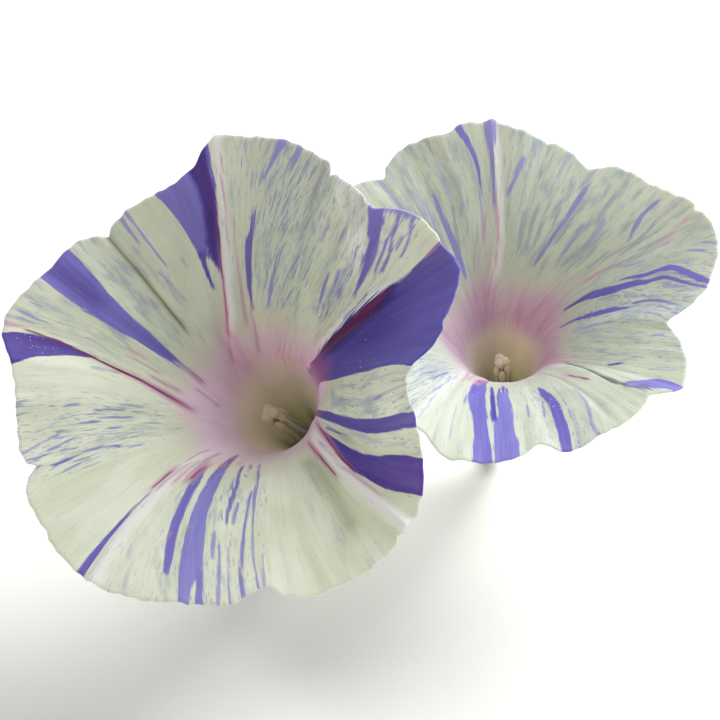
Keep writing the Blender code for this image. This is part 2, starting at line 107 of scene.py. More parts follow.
def add(tree: NodeTree, kind: Kind | str, *values: object,
        stops: Sequence[tuple[float, str]] = (), inputs: Mapping[str, object] | None = None,
        **settings: object) -> Node:
    """Add a node to a tree, with its settings and links.

    A value is a number, a text, a hex colour, a socket, or a node, which stands for its first open output.

    Args:
        tree: The material's or the geometry's node tree.
        kind: The node's kind.
        values: What the node's open inputs get, in their order.
        stops: Places and hex colours of a Color Ramp.
        inputs: What some inputs get, by name.
        settings: The node's own properties.

    Returns:
        The new node.
    """
    type_name, fixed = kind.value if isinstance(kind, Kind) else (kind, {})
    made = tree.nodes.new(type_name)
    for name, value in {**fixed, **settings}.items():
        setattr(made, name, value)
    given = list(zip([socket for socket in made.inputs if socket.enabled], values))
    given += [(made.inputs[name], value) for name, value in (inputs or {}).items()]
    for socket, value in given:
        if isinstance(value, Node):
            value = next(output for output in value.outputs if output.enabled)
        if isinstance(value, NodeSocket):
            tree.links.new(value, socket)
        else:
            socket.default_value = linear(value) if socket.type == "RGBA" else value
    if stops:
        elements = made.color_ramp.elements
        for place, code in stops[len(elements):]:
            elements.new(place)
        for element, (place, code) in zip(elements, stops):
            element.position = place
            element.color = linear(code)
    return made


def periodic(table: Table, angles: Array, column: int = 1) -> Array:
    """Smooth values at some angles from a table that goes once round.

    Args:
        table: Rows that start with an angle, in rising order.
        angles: Angles to look up.
        column: Which of a row's values is wanted.

    Returns:
        One value for each angle.
    """
    knots = np.array([row[0] for row in table], float)
    values = np.tile(np.array([row[column] for row in table], float), 3)
    knots = np.concatenate([knots - 360.0, knots, knots + 360.0])
    steps = np.diff(knots)
    chords = np.diff(values) / steps
    slopes = np.zeros(len(knots))
    slopes[1:-1] = (chords[:-1] * steps[1:] + chords[1:] * steps[:-1]) / (steps[1:] + steps[:-1])
    place = np.mod(angles, 360.0)
    k = np.clip(np.searchsorted(knots, place, side="right") - 1, 0, len(steps) - 1)
    span = steps[k]
    u = (place - knots[k]) / span
    return ((2 * u ** 3 - 3 * u ** 2 + 1) * values[k] + (u ** 3 - 2 * u ** 2 + u) * span * slopes[k]
            + (3 * u ** 2 - 2 * u ** 3) * values[k + 1] + (u ** 3 - u ** 2) * span * slopes[k + 1])


def smooth_route(points: Table, step: float) -> Array:
    """Points on a Catmull-Rom curve through given points.

    Args:
        points: Where the curve passes.
        step: About how far apart its points are.

    Returns:
        One row for each point of the curve.
    """
    knots = np.array(points, float)
    knots = np.vstack([2 * knots[0] - knots[1], knots, 2 * knots[-1] - knots[-2]])
    route = []
    for p0, p1, p2, p3 in zip(knots, knots[1:], knots[2:], knots[3:]):
        pieces = max(2, round(float(np.linalg.norm(p2 - p1)) / step))
        u = np.arange(pieces)[:, None] / pieces
        route.append(0.5 * (2 * p1 + (p2 - p0) * u + (2 * p0 - 5 * p1 + 4 * p2 - p3) * u ** 2
                            + (3 * p1 - p0 - 3 * p2 + p3) * u ** 3))
    route.append(knots[-2:-1])
    return np.vstack(route)


def around(radius: object, angle: object, height: object = 0.0) -> Array:
    """Points at a distance from the Z axis, an angle round it and a height, all numbers or arrays."""
    turn = np.radians(angle)
    return np.stack(np.broadcast_arrays(radius * np.cos(turn), radius * np.sin(turn), height), -1)


def apart(angle: Array, other: object) -> Array:
    """How far each angle is past another one, from -180 to 180."""
    return (angle - other + 180.0) % 360.0 - 180.0


def ease(values: Array, start: float, end: float) -> Array:
    """0 at start and 1 at end, smooth between them; start may be above end."""
    u = np.clip((values - start) / (end - start), 0.0, 1.0)
    return u * u * (3.0 - 2.0 * u)


def grid_faces(rows: int, columns: int, closed: bool = False) -> Array:
    """Four-sided faces of a grid of vertices.

    Args:
        rows: Rows of vertices.
        columns: Vertices in a row.
        closed: Whether the last column meets the first.

    Returns:
        Four vertex numbers for each face.
    """
    i, j = np.meshgrid(np.arange(rows - 1), np.arange(columns if closed else columns - 1), indexing="ij")
    a, b = i * columns + j, i * columns + (j + 1) % columns
    return np.stack([a, b, b + columns, a + columns], -1).reshape(-1, 4)


def knob(rings: int, sides: int, shape: Callable[[Array, Array], Array]) -> tuple[Array, list]:
    """A closed round body with a single point at each pole.

    Args:
        rings: Rows of faces from pole to pole.
        sides: Faces round it.
        shape: Gives the points from the angles up from the lower pole and round the body, in radians.

    Returns:
        Points and faces.
    """
    rise, way = np.meshgrid(np.linspace(0, np.pi, rings + 1), np.arange(sides) * 2 * np.pi / sides,
                            indexing="ij")
    grid = shape(rise, way)
    points = np.vstack([grid[0, :1], grid[1:-1].reshape(-1, 3), grid[-1, :1]])
    rows = [1 + sides * i for i in range(rings - 1)]
    faces = []
    for j in range(sides):
        k = (j + 1) % sides
        faces.append((0, 1 + k, 1 + j))
        faces += [(row + j, row + k, row + k + sides, row + j + sides) for row in rows[:-1]]
        faces.append((rows[-1] + j, rows[-1] + k, len(points) - 1))
    return points, faces


def new_object(name: str, data: ID) -> Object:
    """Put a mesh, a light or a camera in the scene.

    Args:
        name: The object's name.
        data: What it shows.

    Returns:
        The object.
    """
    obj = bpy.data.objects.new(name, data)
    bpy.context.scene.collection.objects.link(obj)
    return obj


def new_mesh(name: str, points: Array, faces: Sequence = (), edges: Sequence = ()) -> Mesh:
    """Make a smooth-shaded mesh.

    Args:
        name: The mesh's name.
        points: Its vertices in millimetres.
        faces: Vertex numbers of each face.
        edges: Vertex numbers of loose edges.

    Returns:
        The mesh, in metres.
    """
    mesh = bpy.data.meshes.new(name)
    mesh.from_pydata((np.asarray(points) * MM).tolist(), list(edges), list(faces))
    mesh.shade_smooth()
    mesh.update()
    return mesh


def new_line(name: str, points: Array) -> Mesh:
    """A line of edges through points in millimetres."""
    return new_mesh(name, points, edges=[(k, k + 1) for k in range(len(points) - 1)])


def set_field(mesh: Mesh, name: str, values: Array) -> None:
    """Store an attribute.

    Args:
        mesh: The mesh that gets it.
        name: Its name.
        values: One number, or one row of three, for each vertex.
    """
    kind, key = ("FLOAT", "value") if values.ndim == 1 else ("FLOAT_VECTOR", "vector")
    mesh.attributes.new(name, kind, "POINT").data.foreach_set(key, values.astype(np.float32).ravel())


def places_of(mesh: Mesh) -> Array:
    """Read where a mesh's vertices are.

    Args:
        mesh: The mesh.

    Returns:
        A row in millimetres for each vertex.
    """
    flat = np.zeros(len(mesh.vertices) * 3)
    mesh.vertices.foreach_get("co", flat)
    return flat.reshape(-1, 3) / MM


def move_points(mesh: Mesh, places: Array) -> None:
    """Put the mesh's vertices at places in millimetres."""
    mesh.vertices.foreach_set("co", (places * MM).ravel())
    mesh.update()


def plain(obj: Object) -> Mesh:
    """Turn an object's modifiers into its mesh.

    Args:
        obj: An object with modifiers.

    Returns:
        Its new, plain mesh.
    """
    bpy.context.view_layer.update()
    evaluated = obj.evaluated_get(bpy.context.evaluated_depsgraph_get())
    mesh = bpy.data.meshes.new_from_object(evaluated)
    obj.modifiers.clear()
    obj.data = mesh
    return mesh


def thicken(name: str, skin: Mesh, thickness: float) -> Mesh:
    """Give a skin a thickness.

    Args:
        name: What the skin is.
        skin: A mesh without thickness.
        thickness: Millimetres, half of it to each side.

    Returns:
        A closed mesh, with the vertices of the front side first.
    """
    holder = new_object(name, skin)
    wall = holder.modifiers.new("thickness", "SOLIDIFY")
    wall.thickness = thickness * MM
    wall.offset = 0.0
    mesh = plain(holder)
    bpy.data.objects.remove(holder)
    return mesh


def join(name: str, meshes: Sequence[Mesh]) -> Object:
    """Join meshes in one object, each face keeping its material.

    Args:
        name: The object's name.
        meshes: The meshes, in their places.

    Returns:
        The new object.
    """
    parts = [new_object(f"{name}_{k}", mesh) for k, mesh in enumerate(meshes)]
    with bpy.context.temp_override(active_object=parts[0], selected_editable_objects=parts,
                                   object=parts[0], selected_objects=parts):
        bpy.ops.object.join()
    parts[0].name = name
    parts[0].data.name = name
    return parts[0]


def settle(piece: Object, nodes: Sequence[str], note: str) -> None:
    """Hand a finished piece to the frame and report it.

    Args:
        piece: The piece, in place.
        nodes: The solids it stands for.
        note: What it is, in plain words.
    """
    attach(piece, "root")
    if nodes:
        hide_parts(*nodes)
    LOG.info("%s: %s, %d faces", piece.name, note, len(piece.data.polygons))


# Geometry Nodes: what repeats or follows a path ---------------


class Grower:
    """A Geometry Nodes tree with named inputs, run once on a mesh."""

    label = ""
    sizes: Mapping[str, str] = {}           # input name and kind of socket

    def __init__(self) -> None:
        """Build the tree: its inputs, its shape, and real smooth faces with the given material."""
        self.tree = bpy.data.node_groups.new(self.label, "GeometryNodeTree")
        new_socket = self.tree.interface.new_socket
        for name, kind in {"Geometry": "Geometry", **self.sizes, "Material": "Material"}.items():
            new_socket(name, in_out="INPUT", socket_type=f"NodeSocket{kind}")
        new_socket("Geometry", in_out="OUTPUT", socket_type="NodeSocketGeometry")
        node = partial(add, self.tree)
        given = node("NodeGroupInput").outputs
        real = node("GeometryNodeRealizeInstances", self.shape(node, given))
        smooth = node("GeometryNodeSetShadeSmooth", real)
        dressed = node("GeometryNodeSetMaterial", smooth, inputs={"Material": given["Material"]})
        node("NodeGroupOutput", dressed)

    def shape(self, node: Callable, given: Mapping[str, NodeSocket]) -> Node:
        """Build the tree's own nodes.

        Args:
            node: Adds a node to the tree.
            given: The tree's inputs.

        Returns:
            The node whose geometry is wanted.
        """
        raise NotImplementedError

    def grow(self, source: Mesh, **values: object) -> Mesh:
        """Run the tree.

        Args:
            source: The mesh it starts from.
            values: Input name and its value.

        Returns:
            A plain mesh.
        """
        holder = new_object("growing", source)
        modifier = holder.modifiers.new("grown", "NODES")
        modifier.node_group = self.tree
        for item in self.tree.interface.items_tree:
            if item.in_out == "INPUT" and item.name in values:
                modifier[item.identifier] = values[item.name]
        mesh = plain(holder)
        bpy.data.objects.remove(holder)
        return mesh


class TubeGrower(Grower):
    """Round stems along paths: each path is a line of edges with a radius at each vertex."""

    label = "tube along a path"
    sizes = {"Sides": "Int"}

    def shape(self, node: Callable, given: Mapping[str, NodeSocket]) -> Node:
        """A circle swept along the path, closed at both ends.

        Args:
            node: Adds a node.
            given: The tree's inputs.

        Returns:
            The tube.
        """
        path = node("GeometryNodeMeshToCurve", given["Geometry"])
        ring = node("GeometryNodeCurvePrimitiveCircle", given["Sides"], 1.0)
        return node("GeometryNodeCurveToMesh", path, ring, node(READ, "radius"), True)

    def along(self, route: Array, radii: Array, sides: int, material: Material) -> Mesh:
        """Grow one tube.

        Args:
            route: Points in millimetres.
            radii: A radius in millimetres at each point.
            sides: Faces round the tube.
            material: Its finish.

        Returns:
            The tube's mesh.
        """
        line = new_line("path", route)
        set_field(line, "radius", radii * MM)
        return self.grow(line, Sides=sides, Material=material)


class HairGrower(Grower):
    """Short tapered hairs that stand on a skin, each leaning its own way."""

    label = "hairs on a skin"
    sizes = {"Density": "Float", "Length": "Float", "Thickness": "Float", "Lean": "Float",
             "Droop": "Float", "Seed": "Int"}
    shortest, longest = 0.5, 1.15           # times the length that is asked for

    def shape(self, node: Callable, given: Mapping[str, NodeSocket]) -> Node:
        """A three-sided spike on each of many random points, turned to the skin's normal and below it.

        Args:
            node: Adds a node.
            given: The tree's inputs.

        Returns:
            The standing hairs.
        """
        seed = {"Seed": given["Seed"]}
        where = node(SCATTER, given["Geometry"], inputs={"Density": given["Density"], **seed})
        lean = node(DRAW_VECTOR, node(TIMES, given["Lean"], -1.0), given["Lean"], inputs=seed)
        leaned = node("ShaderNodeVectorMath", where.outputs["Normal"], lean, operation="ADD")
        fallen = node("ShaderNodeVectorMath", leaned, node(VECTOR, 0.0, 0.0, given["Droop"]),
                      operation="SUBTRACT")
        turned = node("FunctionNodeAlignRotationToVector", inputs={"Vector": fallen}, axis="Z")
        length = node(TIMES, given["Length"],
                      node(DRAW, self.shortest, self.longest, inputs=seed))
        size = node(VECTOR, given["Thickness"], given["Thickness"], length)
        spike = node("GeometryNodeMeshCone", inputs={"Vertices": 3, "Radius Top": 0.06,
                                                     "Radius Bottom": 0.5, "Depth": 1.0})
        return node(STAND, where, inputs={"Instance": spike, "Rotation": turned, "Scale": size})


class GrainGrower(Grower):
    """Round grains scattered on a skin, as thick as its dust attribute says."""

    label = "grains on a skin"
    sizes = {"Density": "Float", "Size": "Float", "Seed": "Int"}
    smallest, largest = 0.6, 1.3            # times the size that is asked for

    def shape(self, node: Callable, given: Mapping[str, NodeSocket]) -> Node:
        """A twenty-sided grain on each of many random points.

        Args:
            node: Adds a node.
            given: The tree's inputs.

        Returns:
            The lying grains.
        """
        seed = {"Seed": given["Seed"]}
        density = node(TIMES, given["Density"], node(READ, "dust"))
        where = node(SCATTER, given["Geometry"], inputs={"Density": density, **seed})
        grain = node("GeometryNodeMeshIcoSphere", 0.5, 1)
        size = node(TIMES, given["Size"], node(DRAW, self.smallest, self.largest, inputs=seed))
        return node(STAND, where, inputs={"Instance": grain, "Scale": size})


class WhorlGrower(Grower):
    """Copies of one part, evenly round the flower's axis."""

    label = "whorl round an axis"
    sizes = {"Count": "Int"}

    def shape(self, node: Callable, given: Mapping[str, NodeSocket]) -> Node:
        """The part, turned by its share of a full turn for each copy.

        Args:
            node: Adds a node.
            given: The tree's inputs.

        Returns:
            The copies.
        """
        share = node("ShaderNodeMath", node("GeometryNodeInputIndex"), given["Count"], operation="DIVIDE")
        about = node(VECTOR, 0.0, 0.0, node(TIMES, share, 2.0 * math.pi))
        points = node("GeometryNodePoints", given["Count"])
        return node(STAND, points, inputs={"Instance": given["Geometry"], "Rotation": about})


# Finishes ---------------


def new_material(name: str) -> tuple[Material, Callable]:
    """Start a material.

    Args:
        name: Its name.

    Returns:
        The empty material, and what adds a node to it.
    """
    material = bpy.data.materials.new(name)
    material.use_nodes = True
    material.node_tree.nodes.clear()
    return material, partial(add, material.node_tree)


@dataclass(frozen=True)
class Tissue:
    """A living plant surface: what every finish of the sprig has in common."""

    name: str
    roughness: float
    glow: float                     # share of the light that goes in and comes out again
    glow_depth: float               # mm that it travels inside
    relief: float = 0.5             # strength of the fine relief
    relief_depth: float = 0.1       # mm
    fuzz: float = 0.0               # weight of the soft sheen

    def paint(self, node: Callable) -> tuple[Node, Node]:
        """Build the finish's own nodes.

        Args:
            node: Adds a node to the material.

        Returns:
            The nodes of its colour and of its fine relief.
        """
        raise NotImplementedError

    def material(self) -> Material:
        """The finish's own colour and relief, on wet cells that let some light in.

        Returns:
            The material.
        """
        material, node = new_material(self.name)
        colour, height = self.paint(node)
        bump = node("ShaderNodeBump", inputs={"Height": height, "Strength": self.relief,
                                              "Distance": self.relief_depth * MM})
        shader = node("ShaderNodeBsdfPrincipled", inputs={
            "Base Color": colour, "Roughness": self.roughness, "Metallic": 0.0, "IOR": 1.42,
            "Subsurface Weight": self.glow, "Subsurface Scale": self.glow_depth * MM,
            "Subsurface Radius": (1.0, 0.9, 0.7), "Sheen Weight": self.fuzz, "Sheen Roughness": 0.45,
            "Normal": bump})
        node("ShaderNodeOutputMaterial", shader)
        return material


@dataclass(frozen=True)
class PetalTissue(Tissue):
    """Striped petal: thin cells grown in long files, pigment in some of the files.

    Gives the eye a matt, softly lit pale ground with faint grey-blue clouds, crisp violet stripes whose
    edges fray along the files, dark magenta along the rays, and a mauve ring that turns olive down the
    tube.
    """

    relief: float = 0.45
    relief_depth: float = 0.25
    fuzz: float = 0.08
    ground: str = "#d8dfce"
    ground_shade: str = "#c0c9b2"
    # painted shade: the grey laid over the parts of the bloom that should look shaded
    painted_shade_grey: str = "#7a8890"
    cloud: str = "#93a0b8"
    fleck: str = "#7c89b2"
    # the deepest stops darken the valleys: deep pigment with painted shade
    violets: tuple[tuple[float, str], ...] = ((0.0, "#9fa4d6"), (0.33, "#6b69bd"), (0.66, "#342394"),
                                              (0.84, "#211862"), (1.0, "#5c0f58"))
    magentas: tuple[tuple[float, str], ...] = ((0.5, "#a34f93"), (0.72, "#7c1c66"), (0.95, "#55164f"))
    halo: str = "#b67ea9"
    pink: str = "#f0d4ea"
    # the pink ring where painted shade darkens it
    painted_shade_pink: str = "#b69ab6"
    streak: str = "#b37296"
    purple: str = "#a0619a"
    # paler rib along the crests, brightened as painted highlight
    rib: str = "#ebe6ec"
    # painted shade in the creases; also the faint lines of the cell files
    crease: str = "#565e4e"
    stain: str = "#c4935f"
    outside: str = "#d2d3bf"
    tube: tuple[tuple[float, str], ...] = ((0.0, "#dfe0bc"), (0.2, "#e2dcc8"), (0.34, "#e0d2c8"),
                                           (0.42, "#d8c3c8"), (0.48, "#d8c8d2"), (0.56, "#d4d1c6"))
    file_width: float = 0.6         # mm across a streak near the rim
    fine_width: float = 0.22        # mm across the finest streaks
    fleck_width: float = 0.38       # mm across a fleck
    cloud_width: float = 1.2        # mm across a cloudy mark
    file_length: float = 9.0        # mm along a streak
    fleck_length: float = 3.0       # mm along a fleck or a cloudy mark
    reference_radius: float = 28.0  # mm from the axis where these widths hold
    limb_length: float = 58.0       # mm from foot to rim

    def paint(self, node: Callable) -> tuple[Node, Node]:
        """Lay the petal's colours over one another, from its own attributes.

        Args:
            node: Adds a node to the material.

        Returns:
            The nodes of its colour and of its fine relief.
        """
        field = {name: node(ATTRIBUTE, attribute_name=name).outputs["Fac"] for name in (
            "share", "fray", "mottle", "painted_shade", "blush", "rib", "tone", "fleck", "violet", "strength",
            "rose", "magenta", "crease", "stain", "outer")}
        share, fray, painted_shade = field["share"], field["fray"], field["painted_shade"]
        flow = node(ATTRIBUTE, attribute_name="flow").outputs["Vector"]

        # noise drawn out along the cell files: size across and along, octaves, and a shift
        patterns = []
        for width, length, detail, shift in (
                (self.file_width, self.file_length, 2.0, 0.0),
                (self.fine_width, self.file_length * 0.7, 2.0, 7.0),
                (self.fleck_width, self.fleck_length, 2.0, 3.0),
                (self.fine_width, self.fleck_length * 0.5, 1.0, 19.0),
                (self.cloud_width, self.fleck_length * 1.7, 3.0, 5.0),
                (self.file_width * 12.0, self.file_length, 2.0, 13.0),
                (self.file_width * 5.0, self.file_length * 1.6, 2.0, 23.0)):
            across = self.reference_radius / width
            moved = node("ShaderNodeVectorMath", flow, (across, across, self.limb_length / length),
                         (shift, shift, shift), operation="MULTIPLY_ADD")
            patterns.append(node(NOISE, moved, 1.0, detail, 0.55))
        broad, fine, marks, specks, haze, patch, strands = patterns
        comb = node(TIMES_PLUS, marks, 0.35, node(TIMES, fine, 0.65))
        broad_off, marks_off, comb_off = (node(MINUS, noise, 0.5) for noise in (broad, marks, comb))

        # the pale ground: blotches, fine ribs of the cell files and grey-blue clouds
        haze_limit = node(TIMES_PLUS, field["mottle"], -0.17, 0.62)
        clouds = node(STEP, haze, node(MINUS, haze_limit, 0.04), node(PLUS, haze_limit, 0.2))
        layers = [(node(STEP, patch, 0.38, 0.66), 0.5, self.ground_shade),
                  (node(STEP, broad, 0.5, 0.7), 0.1, self.crease),
                  (node(STEP, fine, 0.5, 0.75), 0.08, self.crease),
                  (clouds, node(TIMES, field["mottle"], 0.85), self.cloud)]

        # down the throat: the tube's tints, a grey painted shade, the pink ring, darker under the painted
        # shade, and its veins
        down = node(TIMES_PLUS, broad_off, 0.06, share)
        painted_shade_reach = node(LARGER, node(STEP, share, 0.3, 0.62), node(TIMES, painted_shade, 0.55))
        blush = node(TIMES_PLUS, broad_off, 1.1, field["blush"])
        veins = node(TIMES, node(STEP, strands, 0.46, 0.76),
                     node(TIMES_PLUS, painted_shade, 0.45, 0.12))
        layers += [(node(STEP, down, 0.63, 0.5), 1.0, node(RAMP, down, stops=self.tube)),
                   (node(TIMES, painted_shade, painted_shade_reach), 0.46, self.painted_shade_grey),
                   (node(STEP, blush, 0.08, 0.95), 0.9,
                    node(MIX, painted_shade, self.pink, self.painted_shade_pink)),
                   (veins, node(STEP, blush, 0.25, 1.0), self.streak),
                   # pale crests: the paler rib with painted highlight
                   (field["rib"], 0.9, self.rib)]

        # violet flecks and stripes
        fleck_limit = node(TIMES_PLUS, field["fleck"], -0.25, 0.72)
        some = node(STEP, marks, node(MINUS, fleck_limit, 0.03), node(PLUS, fleck_limit, 0.11))
        tiny = node(STEP, specks, node(PLUS, fleck_limit, 0.01), node(PLUS, fleck_limit, 0.09))
        flecks = node(LARGER, node(TIMES, some, 0.8), node(TIMES, tiny, 0.5))
        tone = node(TIMES_PLUS, broad_off, 0.15, node(TIMES, field["tone"], 0.66))
        deep = node(TIMES, node(STEP, share, 0.6, 0.46), 0.85)
        pigment = node(MIX, deep, node(RAMP, tone, stops=self.violets), self.purple)
        edge = node(TIMES_PLUS, comb_off, node(TIMES, fray, 7.5), field["violet"])
        softness = node(TIMES_PLUS, fray, 0.5, 0.06)
        stripes = node(STEP, edge, node(TIMES, softness, -1.0), softness)
        layers += [(flecks, 1.0, self.fleck),
                   (stripes, node(TIMES, field["strength"], node(STEP, share, 0.36, 0.5)), pigment)]

        # the rays' dark lines, painted shade in the creases, stains and the paler outer side
        rose = node(TIMES_PLUS, comb_off, 1.2, field["rose"])
        line = node(TIMES_PLUS, comb_off, 0.6, field["magenta"])
        beside = node(TIMES, node(STEP, line, -0.75, 0.1), node(STEP, share, 0.46, 0.62))
        stained = node(TIMES_PLUS, marks_off, 1.2, field["stain"])
        layers += [(node(STEP, rose, -0.25, 0.2), 0.7, self.halo),
                   (beside, node(STEP, share, 0.86, 0.55), self.halo),
                   (node(STEP, line, -0.14, 0.12), node(STEP, share, 0.49, 0.62),
                    node(RAMP, share, stops=self.magentas)),
                   (field["crease"], 0.85, self.crease),
                   (node(STEP, stained, -0.3, 0.4), 0.6, self.stain),
                   (field["outer"], 0.5, self.outside)]
        colour = self.ground
        for factor, weight, over in layers:
            colour = node(MIX, node(TIMES, factor, weight), colour, over)
        return colour, node(TIMES_PLUS, broad, 0.6, node(TIMES, fine, 0.4))


@dataclass(frozen=True)
class LeafTissue(Tissue):
    """Leaf blade: waxed green skin over a net of pale veins. Gives a satin green with light lines."""

    relief_depth: float = 0.2
    green: str = "#4f7030"
    light_green: str = "#6d8c42"
    vein: str = "#a3b672"
    patch_size: float = 5.0         # mm, cloudy changes of green
    net_size: float = 1.6           # mm between the veins of the net
    cell_size: float = 0.5          # mm, the smallest bumps, drawn coarse enough to show

    def paint(self, node: Callable) -> tuple[Node, Node]:
        """Two greens in clouds, under pale veins; the underside is paler.

        Args:
            node: Adds a node.

        Returns:
            The nodes of its colour and of its fine relief.
        """
        place = node(PLACE).outputs["Object"]
        vein, under = (node(ATTRIBUTE, attribute_name=name).outputs["Fac"] for name in ("vein", "under"))
        cloud = node(NOISE, place, 1.0 / (self.patch_size * MM), 3.0)
        cells = node(NOISE, place, 1.0 / (self.cell_size * MM), 2.0)
        net = node("ShaderNodeTexVoronoi", place, 1.0 / (self.net_size * MM), feature="DISTANCE_TO_EDGE")
        drawn = node(LARGER, node(STEP, net, 0.09, 0.0, 0.0, 0.45), vein, use_clamp=True)
        colour = node(MIX, cloud, self.green, self.light_green)
        colour = node(MIX, drawn, colour, self.vein)
        colour = node(MIX, node(TIMES, under, 0.4), colour, self.vein)
        return colour, node(TIMES_PLUS, cells, 0.6, net)


@dataclass(frozen=True)
class StemTissue(Tissue):
    """Young stem or sepal skin: green with wine-coloured flecks on the sunny side, matt and ribbed."""

    relief: float = 0.4
    relief_depth: float = 0.15
    green: str = "#869a55"
    dark_green: str = "#61783b"
    wine: str = "#7c5a55"
    cut: str = "#c3cf9a"
    patch_size: float = 3.0         # mm
    rib_size: float = 0.45          # mm

    def paint(self, node: Callable) -> tuple[Node, Node]:
        """Two greens in a fine grain, wine-coloured patches, and the pale cut ends.

        Args:
            node: Adds a node.

        Returns:
            The nodes of its colour and of its fine relief.
        """
        place = node(PLACE).outputs["Object"]
        cloud = node(NOISE, place, 1.0 / (self.patch_size * MM), 4.0)
        grain = node(NOISE, place, 1.0 / (self.rib_size * MM), 2.0)
        colour = node(MIX, grain, self.green, self.dark_green)
        colour = node(MIX, node(STEP, cloud, 0.56, 0.72, 0.0, 0.6), colour, self.wine)
        cut = node(ATTRIBUTE, attribute_name="cut").outputs["Fac"]
        return node(MIX, cut, colour, self.cut), grain


@dataclass(frozen=True)
class CreamTissue(Tissue):
    """Pale fertile parts and hairs: soft, faintly grainy, waxy white to cream."""

    relief_depth: float = 0.08
    light: str = "#e9dfc2"
    dark: str = "#cdb58a"
    grain_size: float = 0.25        # mm

    def paint(self, node: Callable) -> tuple[Node, Node]:
        """Two tints in a fine grain.

        Args:
            node: Adds a node.

        Returns:
            The nodes of its colour and of its fine relief.
        """
        place = node(PLACE).outputs["Object"]
        grain = node(NOISE, place, 1.0 / (self.grain_size * MM), 3.0)
        return node(MIX, grain, self.light, self.dark), grain


class Kit:
    """What the sprig is made with: its finishes, and the trees that grow its parts."""

    def __init__(self) -> None:
        """Make each of them once."""
        self.petal = PetalTissue("striped petal", 0.55, 0.7, 1.6).material()
        self.leaf = LeafTissue("waxed leaf", 0.42, 0.15, 0.5).material()
        self.stem = StemTissue("young green stem", 0.6, 0.15, 0.6).material()
        self.hair = CreamTissue("silvery plant hair", 0.5, 0.3, 0.3, light="#e3e6d2",
                                dark="#c9cfae").material()
        self.filament = CreamTissue("white filament", 0.5, 0.5, 0.8, light="#f7f3e8",
                                    dark="#e9e0cf").material()
        self.anther = CreamTissue("cream anther", 0.65, 0.35, 0.6, light="#f6edcf",
                                  dark="#e8d4a4").material()
        self.pollen = CreamTissue("white pollen", 0.7, 0.2, 0.2, light="#f6f2e4",
                                  dark="#e6d8ae").material()
        self.tubes, self.hairs, self.grains, self.whorl = (
            TubeGrower(), HairGrower(), GrainGrower(), WhorlGrower())


# The flowers ---------------


class Pigment(Enum):
    """What can colour the pale petal."""

    VIOLET = "violet"
    MAGENTA = "magenta"
    ROSE = "rose"
    STAIN = "stain"


@dataclass(frozen=True)
class Spots:
    """Many points of a corolla."""

    angle: Array                # nominal
    share: Array                # of the way from foot to rim
    radius: Array               # mm from the flower's axis

    def off(self, angle: object) -> Array:
        """Millimetres that each point is past an angle."""
        return np.radians(apart(self.angle, angle)) * self.radius


@dataclass(frozen=True)
class Stroke:
    """One stripe of pigment, as rows of (per cent of the way to the rim, angle, degrees wide)."""

    rows: Table
    tone: float = 0.5           # 0 pale, 1 deep, 1.5 nearly black
    pigment: Pigment = Pigment.VIOLET
    strength: float = 1.0
    fray: float = 0.12          # mm that its edge wanders
    least: float = 0.17         # mm, half of the narrowest stripe that shows
    taper: float = 0.3          # how fast an end narrows

    def depth(self, spots: Spots, length: float) -> Array:
        """How far inside the stripe each point lies.

        Args:
            spots: The points.
            length: Distance from foot to rim.

        Returns:
            Millimetres inside, below 0 outside.
        """
        shares, start, width = (np.array(sorted(self.rows)) / (100, 1, 1)).T
        middle = np.interp(spots.share, shares, start + width / 2)
        half = np.radians(np.interp(spots.share, shares, width / 2)) * spots.radius
        above = np.where(shares[-1] >= 1.0, np.inf, shares[-1] - spots.share)
        ends = np.minimum(spots.share - shares[0], above) * length * self.taper
        return np.minimum(np.maximum(half, self.least) - np.abs(spots.off(middle)), ends)


@dataclass(frozen=True)
class Crease:
    """A sharp fold of the petal, as rows of (per cent of the way to the rim, angle)."""

    route: Table
    height: float               # mm, a groove where negative
    width: float = 0.7          # mm
    rib: float = 0.0            # how pale it is: a paler rib, brightened as painted highlight
    shadow: float = 0.0         # how dark it is
    fade: float = 0.08          # share over which its lower end fades out
    top_fade: float = 0.05      # the same for its upper end, where that isn't at the rim

    def nearness(self, spots: Spots) -> Array:
        """How near each point is.

        Args:
            spots: The points.

        Returns:
            1 on the crease, falling to 0 beside it.
        """
        shares, angles = (np.array(sorted(self.route)) / (100, 1)).T
        off = spots.off(np.interp(spots.share, shares, angles))
        top = 1.0 if shares[-1] >= 1.0 else ease(spots.share, shares[-1], shares[-1] - self.top_fade)
        return np.exp(-(off / self.width) ** 2) * ease(spots.share, shares[0], shares[0] + self.fade) * top


# Growth of the corolla, the same in both flowers: (radius, height) up the middle of the petal
FUNNEL_PROFILE = ((2.5, 0.0), (3.0, 6.0), (4.0, 12.5), (5.6, 18.0), (7.2, 22.0), (8.8, 25.6),
                  (12.0, 30.2), (17.0, 34.9), (23.0, 38.7), (28.5, 41.3), (33.0, 43.0))
DRIFT_SHARES = (0.8, 0.65, 0.5)


